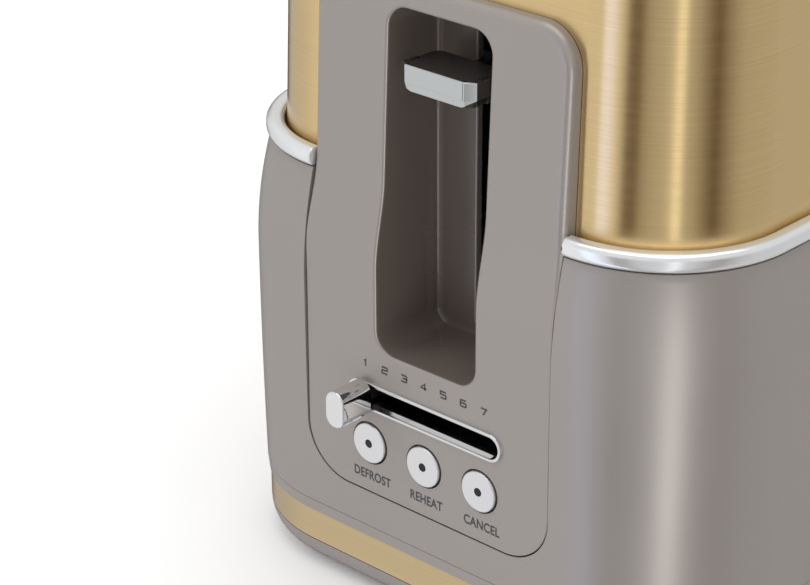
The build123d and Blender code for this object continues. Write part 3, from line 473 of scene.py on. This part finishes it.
def make_panel():
    """One profile carried all round the panel and back: side, soft edge, face, lip, recess, slot and inside.

    Each ring of points is an outline with a depth that is a fixed number or a distance behind the face.
    Between the soft edge and the lip the rings go evenly from the outer outline to the recess outline.
    """
    lip, fillet, slot_edge = 1.2, 2.2, 0.45
    crisp, swell, widest = 0.45, 2.2, 2.65
    quarter = np.linspace(0, math.pi / 2, 9)
    rings = []

    def ring(loop, depth):
        rings.append(place(loop[:, 0], depth, loop[:, 1]))

    def soft_edge(z):
        """Radius of the outer edge: crisp down in the shell, soft where the panel stands free above it."""
        t = np.clip((z - 103.0) / 27.0, 0, 1)
        return crisp + swell * (3 * t**2 - 2 * t**3)

    outer, rim = panel_outline(0), panel_outline(widest)
    ring(outer, steel_depth(outer[:, 1]) - STEEL_CLEARANCE)
    radius = soft_edge(outer[:, 1])
    for t in quarter:
        share = (radius * (1 - math.cos(t)) / widest)[:, None]
        loop = outer * (1 - share) + rim * share
        ring(loop, face_depth(loop[:, 1]) + radius * 0.85 * (1 - math.sin(t)))
    for extra in (0.15, 0.5):
        share = ((radius + extra) / 3.15)[:, None]
        loop = outer * (1 - share) + panel_outline(3.15) * share
        ring(loop, face_depth(loop[:, 1]))
    rim, mouth = panel_outline(3.3), recess_outline(lip + 0.2)
    for share in np.linspace(0, 1, 27):
        loop = rim * (1 - share) + mouth * share
        ring(loop, face_depth(loop[:, 1]))
    for t in quarter:
        loop = recess_outline(lip * (1 - math.sin(t)))
        ring(loop, face_depth(loop[:, 1]) + lip * (1 - math.cos(t)))
    wall_end = RECESS_DEPTH - fillet
    start = face_depth(recess_outline(0)[:, 1]) + lip
    for share in np.linspace(0, 1, 8)[1:]:
        margin = -RECESS_DRAFT * wall_end * share
        loop = recess_outline(margin)
        ring(loop, start * (1 - share) + wall_end * share)
    foot = -RECESS_DRAFT * wall_end
    for t in quarter[1:]:
        loop = recess_outline(foot - fillet * (1 - math.cos(t)))
        ring(loop, wall_end + fillet * math.sin(t))
    half, low, high = LEVER_SLOT
    slot = rectangle(half, low, high, 2.2, steps=14, across=24, upright=80)
    for t in quarter[::2]:
        ring(slot(-slot_edge * (1 - math.sin(t))), RECESS_DEPTH + slot_edge * (1 - math.cos(t)))
    ring(slot(0), RECESS_DEPTH + RECESS_WALL)
    ring(recess_outline(foot - 3.0 + RECESS_WALL), RECESS_DEPTH + RECESS_WALL)
    back = recess_outline(RECESS_WALL)
    ring(back, face_depth(back[:, 1]) + PANEL_WALL)
    hollow = panel_outline(PANEL_WALL)
    ring(hollow, face_depth(hollow[:, 1]) + PANEL_WALL)
    ring(hollow, steel_depth(hollow[:, 1]) - STEEL_CLEARANCE)
    mesh = skin("control_panel_shell", np.array(rings), close_rows=True, sharp_angle=40)
    radius = BUTTON_RADIUS + BUTTON_GAP
    shapes = [
        rectangle(
            radius, BUTTON_Z - radius, BUTTON_Z + radius, radius - 1e-4,
            middle=x, steps=16, across=2, upright=2,
        )
        for x in (-BUTTON_PITCH, 0.0, BUTTON_PITCH)
    ]
    shapes.append(stadium(53.7, 6.7))
    holes = [rounded_loft("hole", shape, -3.0, 6.0, 0.0) for shape in shapes]
    mesh = drilled(mesh, *holes, sharp_angle=40)
    piece("control_panel_shell", mesh, "housing", "taupe_moulding", ["control_panel"])
    # behind its lip the recess wears a darker, glossier copy of the taupe: painted shade, as the recess is
    # the same moulding in shade
    mesh.materials.append(PAINTED_SHADE_TAUPE)
    centres = np.empty(len(mesh.polygons) * 3)
    mesh.polygons.foreach_get("center", centres)
    x, y, z = centres.reshape(-1, 3).T / MM
    depth = y - PANEL_Y / MM
    inside = (np.abs(x) < RECESS_HALF_WIDTH + lip) & (z > RECESS_LOW - lip) & (z < RECESS_HIGH + lip)
    behind = depth - face_depth(z) > lip / 2
    # the rounded edge of the lever's slot is left out of the painted shade, so its lighter taupe stands for a
    # painted highlight
    slot_rim = (np.abs(x) < half + slot_edge) & (depth > RECESS_DEPTH) & (z > low - 1) & (z < high + 1)
    mesh.polygons.foreach_set("material_index", (inside & behind & ~slot_rim).astype(np.int32))


make_panel()


# ================================================================ lower shell
def make_lower_shell():
    """Moulded wall carried round the body: slightly bellied, creased above the strip, curved in at the top.

    The side view is a list of offsets outwards from the widest plan, and heights. The panel's opening and
    the cord gland's hole are cut in it.
    """
    low, crease, belly, top = SHELL_LOW, CREASE_Z, BELLY_Z, SHELL_HIGH
    rise = np.linspace(0, 1, 24)[:, None]
    swelling = -0.9 + 0.9 * (2 * rise - rise**2)
    lower = np.concatenate((swelling, crease + 0.1 + (belly - crease - 0.1) * rise), axis=1)
    t = np.linspace(0, 1, 17)[1:, None]
    upper = np.concatenate((-0.6 * t - 3.6 * t**2, belly + (top - 0.3 - belly) * t), axis=1)
    groove = np.array([
        (-1.55, low), (-1.3, low + 0.15), (-0.98, crease - 0.1),
        (-1.5, crease - 0.08), (-1.5, crease + 0.08),
    ])
    over = np.array([(-4.35, top - 0.08), (-4.6, top), (-8.3, top), (-8.3, top - 2.0), (-6.3, top - 2.0)])
    inside = np.array([(-3.7, 107.5), (-2.5, belly), (-2.95, 60.0), (-3.5, low)])
    profile = np.concatenate((groove, lower, upper, over, inside))
    path, outward = plan_turn(BELLY_HALF_WIDTH, BELLY_FRONT, BELLY_REAR, BELLY_RADIUS, 0.0, run=24)
    grid = carried(profile, path[:-1], outward[:-1])
    wall = skin("lower_shell_wall", grid, close_rows=True, sharp_angle=30)
    # above the shell the opening is cut well past its top
    opening_shape = rectangle(
        PANEL_HALF_WIDTH + PANEL_GAP, PANEL_LOW - PANEL_GAP, SHELL_HIGH + 17.0, PANEL_LOW_RADIUS + PANEL_GAP,
        steps=20, across=4, upright=4,
    )
    gland_shape = rectangle(
        GLAND_RADIUS, GLAND_Z - GLAND_RADIUS, GLAND_Z + GLAND_RADIUS, GLAND_RADIUS - 0.01,
        middle=GLAND_X, steps=16, across=1, upright=1,
    )
    opening = rounded_loft("opening", opening_shape, -6.0, 14.0, 0.0)
    gland = rounded_loft("gland_hole", gland_shape, BELLY_REAR - 8.0, BELLY_REAR + 6.0, 0.0)
    mesh = drilled(wall, opening, gland, sharp_angle=30)
    piece("lower_shell_wall", mesh, "housing", "taupe_moulding", ["lower_shell"])


make_lower_shell()


# ================================================================ belt ring
def make_belt_ring():
    """Rounded bar section carried round the body; both ends shrink a little, as filed square ends do."""
    path, outward = plan_turn(RING_HALF_WIDTH, RING_FRONT, RING_REAR, RING_RADIUS, RING_START)
    half = RING_DEPTH / 2
    section = outline(half, RING_LOW, RING_HIGH, 2.1, middle=-half, steps=10, across=2, upright=2)
    grid = carried(section, path, outward)
    ends = []
    for row, step in ((0, 1), (-1, -1)):
        middle = grid[row].mean(axis=0)
        along = np.array([0.35 * MM * step, 0.0, 0.0])
        ends.append((grid[row] + along, middle + (grid[row] - middle) * 0.88))
    grid = np.concatenate(([ends[0][1]], [ends[0][0]], grid[1:-1], [ends[1][0]], [ends[1][1]]))
    mesh = skin("belt_ring_bar", grid, sharp_angle=50)
    piece("belt_ring_bar", mesh, "housing", "chrome_trim", ["belt_ring"], material=PEARL_CHROME)


make_belt_ring()


# ================================================================ lever
def cap_path(inset):
    """Plan of the band moved in by an inset, from its right end round the front to its left end.

    Its two front corners are cut off and each bend is a small arc. Beside each corner some points lie
    close together for a seam. Returns points and outward directions, which lean between the faces across a
    bend.
    """
    half, near, across, deep = PADDLE_HALF_WIDTH, PADDLE_FRONT, BAND_ACROSS, BAND_DEEP
    turn = 0.2
    lean = math.degrees(math.atan2(across, deep))
    bends = ((half, near + deep, 0, -lean), (half - across, near, -lean, -90))
    points, outward = [np.array([[half, BAND_REAR]])], [np.array([[1.0, 0.0]])]
    for x, depth, first, last in bends:
        angle = np.radians(np.linspace(first, last, 5))
        way = np.stack((np.cos(angle), np.sin(angle)), axis=-1)
        middle = way[2]
        points.append(np.array([[x, depth]]) + (way - middle) * turn)
        outward.append(way)
    # room for the seam beside each corner
    face = half - across - np.array([0.42, 0.44, 0.56, 0.58, 0.9, 1.2, 1.6])
    points.append(np.stack((face, np.full(len(face), near)), axis=-1))
    outward.append(np.repeat([[0.0, -1.0]], len(face), axis=0))
    right, out = np.concatenate(points), np.concatenate(outward)
    path = np.concatenate((right, right[::-1] * [-1, 1]))
    out = np.concatenate((out, out[::-1] * [-1, 1]))
    return path - out * inset, out


def make_paddle():
    """Charcoal grip with soft upper edges and rounded rear corners, and a bright band with a lower facet."""
    path, out = cap_path(1.25)
    side = PADDLE_HALF_WIDTH - 0.45
    corner = arc((side - 2.6, 16.0), 2.6, 0, 90, 8)
    ends = np.array([[side, BAND_REAR]]), np.array([[-side, BAND_REAR]])
    rear = np.concatenate((ends[0], corner, corner[::-1] * [-1, 1], ends[1]))
    plan = np.concatenate((path, rear[::-1]))
    middle = np.array([0.0, 10.0])
    rows = []
    low, high, soft = PADDLE_LOW, PADDLE_HIGH, 0.8
    # how far in the sides stand, and the height
    levels = [(0.9, low + 0.05), (soft, low + 0.05), (0.25, low + 0.3), (0.0, low + 0.9), (0.0, high - 0.9)]
    for t in np.linspace(0.2, math.pi / 2, 6):
        levels.append((soft * (1 - math.cos(t)), high - 0.9 + soft * math.sin(t)))
    levels.append((0.95, high - 0.1))
    span = plan - middle
    reach = np.linalg.norm(span, axis=1, keepdims=True)
    for inset, height in levels:
        # the sides and the back draw in, and the front stays against the band
        free = np.clip((plan[:, 1:] - PADDLE_FRONT - 1.0) / 3.0, 0.12, 1)
        loop = plan - span / reach * inset * free
        rows.append(place(loop[:, 0], loop[:, 1], height))
    grip = skin("paddle_grip", np.array(rows), sharp_angle=40)
    neck_shape = rectangle(1.6, low + 1.5, high - 1.5, 0.2, steps=2, across=2, upright=2)
    neck = rounded_loft("neck_hole", neck_shape, 8.5, 24.0, 0.0)
    piece("paddle_grip", drilled(grip, neck, sharp_angle=40), "lever", "charcoal_moulding", ["lever_paddle"])
    # section of the band: how far inside its outer face, and how far up it
    tall = high - low
    section = np.array([
        (1.2, 0.0), (0.75, 0.0), (0.5, 0.12), (0.03, 2.3), (0.0, 2.35), (0.0, 2.5), (0.0, tall - 0.35),
        (0.0, tall - 0.3), (0.08, tall - 0.1), (0.25, tall), (1.2, tall),
    ])
    path, out = cap_path(0)
    # the lower edge climbs towards the two front corners and the ends
    along = np.abs(path[:, 0])
    climb = 2.2 * np.clip((along - 8.4) / 4.3, 0, 1) ** 1.3
    level = section[None, :, 1]
    height = low + level + np.clip(1 - level / 2.5, 0, 1) * climb[:, None]
    on_seam = np.isclose(along, PADDLE_HALF_WIDTH - BAND_ACROSS - 0.5, atol=0.065) & (path[:, 0] > 0)
    seam = on_seam[:, None]
    dent = 0.35 * seam * (level > 2.4) * (level < tall - 0.3)
    flat = path[:, None, :] - out[:, None, :] * (section[None, :, :1] + dent[:, :, None])
    band = skin("paddle_band", place(flat[..., 0], flat[..., 1], height), sharp_angle=14)
    piece("paddle_band", band, "lever", "chrome_trim", ["lever_cap"], material=SATIN_BAND)


make_paddle()


# ================================================================ slider and buttons
def make_slider():
    """Half-round-ended trim round the way, and a knob that is a bar with half-round edges."""
    outer, inner, neck = stadium(55.0, 8.15), stadium(51.8, 4.9), stadium(53.3, 6.5)
    quarter = np.linspace(0, math.pi / 2, 6)
    rings = [(neck(0), 2.5), (neck(0), 0.02), (outer(0), 0.02), (outer(0), -0.45)]
    rings += [(outer(0.3 * (1 - math.cos(t))), -0.45 - 0.3 * math.sin(t)) for t in quarter[1:]]
    # flat land, then a funnel down to the way
    rings += [(outer(inset), -0.75) for inset in (0.36, 0.8)]
    rings += [(outer(0.86 + 0.7 * t), -0.72 + 1.5 * t**0.8) for t in np.linspace(0, 1, 8)]
    rings += [(inner(0), 1.2), (inner(0), 2.5)]
    grid = np.array([place(loop[:, 0], depth, loop[:, 1]) for loop, depth in rings])
    trim = skin("slider_way_trim", grid, close_rows=True)
    piece("slider_way_trim", trim, "housing", "chrome_trim", ["slider_trim"], material=SATIN_TRIM)

    bar = rectangle(
        KNOB_HALF_WIDTH, KNOB_LOW, KNOB_HIGH, KNOB_HALF_WIDTH - 0.15,
        middle=SLIDER_X, steps=12, across=2, upright=3,
    )
    knob = rounded_loft("slider_knob_bar", bar, -KNOB_PROUD, -1.4, 0.5, 0.3)
    peg_shape = rectangle(
        1.45, SLIDER_Z - 1.55, SLIDER_Z + 1.55, 0.1, middle=SLIDER_X, steps=2, across=2, upright=2
    )
    peg = rounded_loft("peg_hole", peg_shape, -6.0, 2.0, 0.0)
    piece("slider_knob_bar", drilled(knob, peg), "browning_slider", "chrome_trim", ["slider_knob"])


def make_button(name, x):
    """Turned cap with a soft edge and a hole for the lens, and the arm and pin that work its switch."""
    edge = arc((BUTTON_RADIUS - 0.5, -0.2), 0.5, 0, -90, 6)
    front, flange_near, flange_far = -0.7, 4.6, 6.2
    hole = np.array([
        (BUTTON_RADIUS - 0.6, front), (1.36, front), (1.3, front), (1.23, front + 0.04), (1.2, front + 0.15),
        (1.2, flange_far),
    ])
    flange = np.array([(7.05, flange_far), (7.05, flange_near), (BUTTON_RADIUS, flange_near)])
    profile = np.concatenate((flange, edge, hole))
    cap = skin(f"{name}_cap", turned(profile, (x, BUTTON_Z)), close_rows=True)

    def arm_shape(inset):
        return outline(2.0 - inset, 39.0 + inset, 45.0 - inset, 0.4, middle=x, steps=3, across=2, upright=2)

    arm = rounded_loft("arm", arm_shape, flange_near, flange_far, 0.2)
    pin_shape = rectangle(1.6, 39.4, 42.6, 1.59, middle=x, steps=8, across=1, upright=1)
    pin = rounded_loft("pin", pin_shape, flange_far, 8.8, 0.0, 0.3)
    mesh = joined(f"{name}_cap", cap, arm, pin)
    piece(f"{name}_cap", mesh, name, "satin_chrome", [f"button_{name}"])


make_slider()
for button, x in (("defrost", -BUTTON_PITCH), ("reheat", 0.0), ("cancel", BUTTON_PITCH)):
    make_button(button, x)


# ================================================================ printing on the panel
def lettering(words, x, z, height, stretch):
    """Flat letters raised a hair from the panel, centred on X with their feet at Z."""
    curve = bpy.data.curves.new("letters", "FONT")
    curve.body = words
    curve.align_x = "CENTER"
    curve.size = height * 1.39 * MM
    curve.extrude = 0.012 * MM
    curve.offset = 0.085 * MM
    curve.resolution_u = 6
    curve.space_character = 1.04
    text = bpy.data.objects.new("letters", curve)
    scene.collection.objects.link(text)
    mesh = bpy.data.meshes.new_from_object(text.evaluated_get(bpy.context.evaluated_depsgraph_get()))
    bpy.data.objects.remove(text)
    upright = Matrix.Rotation(math.pi / 2, 4, "X")
    spot = Matrix.Translation((x * MM, PANEL_Y - 0.02 * MM, z * MM))
    mesh.transform(spot @ upright @ Matrix.Diagonal((stretch, 1, 1, 1)))
    return mesh


# squared figures as corners of strokes on a grid four wide and four high
FIGURES = {
    1: (((0.9, 3.1), (2.0, 4.0), (2.0, 0.0)),),
    2: (((0.0, 3.3), (0.5, 4.0), (3.5, 4.0), (4.0, 3.5), (4.0, 2.6), (3.5, 2.1), (0.5, 2.1), (0.0, 1.6),
         (0.0, 0.0), (4.0, 0.0)),),
    3: (((0.0, 4.0), (3.5, 4.0), (4.0, 3.5), (4.0, 0.5), (3.5, 0.0), (0.0, 0.0)),
        ((1.0, 2.05), (4.0, 2.05))),
    4: (((3.0, 0.0), (3.0, 4.0), (0.0, 1.1), (4.2, 1.1)),),
    5: (((4.0, 4.0), (0.0, 4.0), (0.0, 2.2), (3.5, 2.2), (4.0, 1.7), (4.0, 0.5), (3.5, 0.0), (0.0, 0.0)),),
    6: (((3.8, 4.0), (0.5, 4.0), (0.0, 3.5), (0.0, 0.5), (0.5, 0.0), (3.5, 0.0), (4.0, 0.5), (4.0, 1.8),
         (3.5, 2.2), (0.0, 2.2)),),
    7: (((0.0, 4.0), (4.0, 4.0), (1.6, 0.0)),),
}


def stroke(corners, x):
    """Flat line of even weight through corners: both sides are the mitred offsets of the middle line."""
    line = np.array(corners) / 4.0 * [FIGURE_WIDTH, FIGURE_HEIGHT]
    way = np.diff(line, axis=0)
    way /= np.linalg.norm(way, axis=1, keepdims=True)
    before, after = np.vstack((way[:1], way)), np.vstack((way, way[-1:]))
    normal = np.stack((-(before + after)[:, 1], (before + after)[:, 0]), axis=-1)
    normal /= np.linalg.norm(normal, axis=1, keepdims=True)
    square = np.stack((-after[:, 1], after[:, 0]), axis=-1)
    reach = FIGURE_WEIGHT / 2 / np.clip((normal * square).sum(axis=1, keepdims=True), 0.5, 1)
    sides = np.stack((line - normal * reach, line + normal * reach), axis=1)
    across, up = x - FIGURE_WIDTH / 2 + sides[..., 0], FIGURE_Z + sides[..., 1]
    front, back = place(across, -0.03, up), place(across, 0.01, up)
    return skin("figure", np.concatenate((front, back[:, ::-1]), axis=1), sharp_angle=30)


def make_print():
    """Browning steps over the slider, and what each button does under it."""
    meshes = [
        stroke(corners, FIGURE_X + FIGURE_PITCH * (step - 1))
        for step, strokes in FIGURES.items() for corners in strokes
    ]
    for words, x in LABELS:
        meshes.append(lettering(words, x, LABEL_Z, LABEL_HEIGHT, LABEL_STRETCH))
    piece("panel_print", joined("panel_print", *meshes), "housing", "black_moulding", material=PRINT)


make_print()


# ================================================================ return spring
def make_spring():
    """Wire of radius r carried round a helix: centre + R x (cos, sin) at a height that rises evenly."""
    turns, radius, wire, low, high = 13, 3.6, 0.5, 20.5, 109.5
    t = np.linspace(0, 1, turns * 28 + 1)
    # the first and last turn close up and lie flat
    rise = np.interp(t, [0, 1 / turns, 1 - 1 / turns, 1], [0, 0.012, 0.988, 1])
    angle = 2 * math.pi * turns * t
    ring = np.linspace(0, 2 * math.pi, 10, endpoint=False)
    out = radius + wire * np.cos(ring)[None, :]
    grid = place(
        ROD_X + np.cos(angle)[:, None] * out,
        ROD_DEPTH + np.sin(angle)[:, None] * out,
        low + (high - low) * rise[:, None] + wire * np.sin(ring)[None, :],
    )
    spring = piece("return_spring_wire", skin("return_spring_wire", grid, sharp_angle=80), "housing",
                   "spring_steel", ["return_spring"])
    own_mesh(spring)


make_spring()


# ================================================================ studio
def make_floor():
    """Wide pale floor that the feet stand on. Glossy finishes look through it at the tent's lower half."""
    half = 6.0
    mesh = bpy.data.meshes.new("studio_floor")
    corners = [(-half, -half, 0), (half, -half, 0), (half, half, 0), (-half, half, 0)]
    mesh.from_pydata(corners, [], [(0, 1, 2, 3)])
    floor = bpy.data.objects.new("studio_floor", mesh)
    scene.collection.objects.link(floor)
    paper, _, principled = material_with("studio_paper", Roughness=0.9, Specular_IOR_Level=0.1)
    principled.inputs["Base Color"].default_value = (0.95, 0.95, 0.95, 1)
    principled.inputs["Emission Color"].default_value = (1, 1, 1, 1)
    principled.inputs["Emission Strength"].default_value = 0.06
    mesh.materials.append(paper)
    floor.visible_glossy = False


# light and dark cloths hung round the tent: compass angle from -Y towards +X in degrees, and brightness
TENT_CLOTHS = (
    (-180, 0.50), (-150, 0.50), (-142, 0.36), (-136, 0.10), (-118, 0.12), (-108, 0.52), (-98, 0.58),
    (-82, 0.64), (-67, 0.72), (-56, 0.82), (-44, 0.80), (-36, 0.84), (-27, 0.78), (-22, 0.74),
    (-20, 1.22), (-13, 1.15), (-8, 0.92), (-3, 0.66), (1, 0.40), (4, 0.16), (12, 0.15), (18, 0.38),
    (27, 0.48), (37, 0.55), (43, 0.7), (46, 1.15), (51, 1.15), (53, 0.7), (56, 0.52), (62, 0.46),
    (67, 0.36), (74, 0.22), (81, 0.10), (88, 0.25), (96, 0.37), (103, 0.45), (110, 0.50),
    (137, 0.53), (160, 0.58), (180, 0.50),
)
OVERHEAD = 0.90
SILK_ANGLE = -15.0


def make_tent():
    """Light tent: white overhead, and below it the cloths, as a curve over the compass angle of a ray."""
    world = bpy.data.worlds.new("light_tent")
    scene.world = world
    world.use_nodes = True
    tree = world.node_tree
    tree.nodes.clear()
    ray = add_node(tree, "ShaderNodeTexCoord").outputs["Generated"]
    parts = add_node(tree, "ShaderNodeSeparateXYZ", {"Vector": ray}).outputs
    ahead = add_node(tree, "ShaderNodeMath", {0: parts["Y"], 1: -1.0}, operation="MULTIPLY").outputs[0]
    angle = add_node(tree, "ShaderNodeMath", {0: parts["X"], 1: ahead}, operation="ARCTAN2").outputs[0]
    share = add_node(tree, "ShaderNodeMapRange", {
        "Value": angle, "From Min": -math.pi, "From Max": math.pi, "To Min": 0.0, "To Max": 1.0,
    }).outputs["Result"]
    cloths = add_node(tree, "ShaderNodeFloatCurve", {"Value": share})
    curve = cloths.mapping.curves[0]
    peak = 10.0
    cloths.mapping.clip_max_y = 1.0
    for order, (degrees, cloth_level) in enumerate(TENT_CLOTHS):
        spot = ((degrees + 180) / 360, cloth_level / peak)
        if order < 1:
            curve.points[0].location = spot
        elif order == len(TENT_CLOTHS) - 1:
            curve.points[len(curve.points) - 1].location = spot
        else:
            curve.points.new(*spot)
    for point in curve.points:
        point.handle_type = "VECTOR"
    cloths.mapping.update()
    level = add_node(tree, "ShaderNodeMath", {0: cloths.outputs[0], 1: peak}, operation="MULTIPLY").outputs[0]
    # the dark cloths are brown, and the ones round SILK_ANGLE are cool silk
    brown = add_node(tree, "ShaderNodeMapRange", {
        "Value": level, "From Min": 0.45, "From Max": 0.1,
    }).outputs["Result"]
    warm = add_node(tree, "ShaderNodeMix", {
        0: brown, 6: (1, 1, 1, 1), 7: (1.0, 0.76, 0.58, 1),
    }, data_type="RGBA").outputs[2]
    centre = -math.radians(SILK_ANGLE)
    off = add_node(tree, "ShaderNodeMath", {0: angle, 1: centre}, operation="ADD").outputs[0]
    away = add_node(tree, "ShaderNodeMath", {0: off}, operation="ABSOLUTE").outputs[0]
    silk = add_node(tree, "ShaderNodeMapRange", {
        "Value": away, "From Min": math.radians(8), "From Max": math.radians(3),
    }).outputs["Result"]
    tint = add_node(tree, "ShaderNodeMix", {
        0: silk, 6: warm, 7: (0.92, 1.03, 1.6, 1),
    }, data_type="RGBA").outputs[2]
    cloth = add_node(tree, "ShaderNodeBackground", {"Color": tint, "Strength": level}).outputs[0]
    roof = add_node(tree, "ShaderNodeBackground", {"Strength": OVERHEAD}).outputs[0]
    rise = add_node(tree, "ShaderNodeMapRange", {
        "Value": parts["Z"], "From Min": 0.0, "From Max": 0.45,
    }, interpolation_type="SMOOTHSTEP").outputs["Result"]
    tent = add_node(tree, "ShaderNodeMixShader", {"Fac": rise, 1: cloth, 2: roof}).outputs[0]
    paper = add_node(tree, "ShaderNodeBackground", {"Strength": 1.05}).outputs[0]
    seen = add_node(tree, "ShaderNodeLightPath").outputs["Is Camera Ray"]
    glow = add_node(tree, "ShaderNodeMixShader", {"Fac": seen, 1: tent, 2: paper}).outputs[0]
    tree.links.new(glow, add_node(tree, "ShaderNodeOutputWorld").inputs["Surface"])


def soft_box(name, azimuth, elevation, distance, width, height, power):
    """Rectangular light at a compass angle and a height angle, aimed at the middle of the object."""
    target = Vector((0, 0, 0.11))
    a, e = math.radians(azimuth), math.radians(elevation)
    away = Vector((math.sin(a) * math.cos(e), -math.cos(a) * math.cos(e), math.sin(e)))
    lamp = bpy.data.lights.new(name, "AREA")
    lamp.shape = "RECTANGLE"
    lamp.size, lamp.size_y, lamp.energy = width, height, power
    box = bpy.data.objects.new(name, lamp)
    scene.collection.objects.link(box)
    box.location = target + away * distance
    box.rotation_euler = away.to_track_quat("Z", "Y").to_euler()
    return box


def light_only(box, *names):
    """Keeps a light to the named pieces, which alone can shadow it: the floor and the rest let it through."""
    lit = bpy.data.collections.new("lit_pieces")
    for name in names:
        lit.objects.link(bpy.data.objects[name])
    box.light_linking.receiver_collection = lit
    box.light_linking.blocker_collection = lit


scene.view_settings.view_transform = "Standard"
make_floor()
make_tent()
soft_box("overhead_box", 0, 88, 1.6, 1.6, 1.6, 10)
soft_box("front_left_box", -48, 34, 1.8, 0.9, 0.9, 7.5).visible_glossy = False
# this one stands below the floor's level and shines up through it
light_only(soft_box("right_strip", 48, -20, 1.5, 0.2, 1.1, 3.4), "lower_shell_wall", "control_panel_shell")
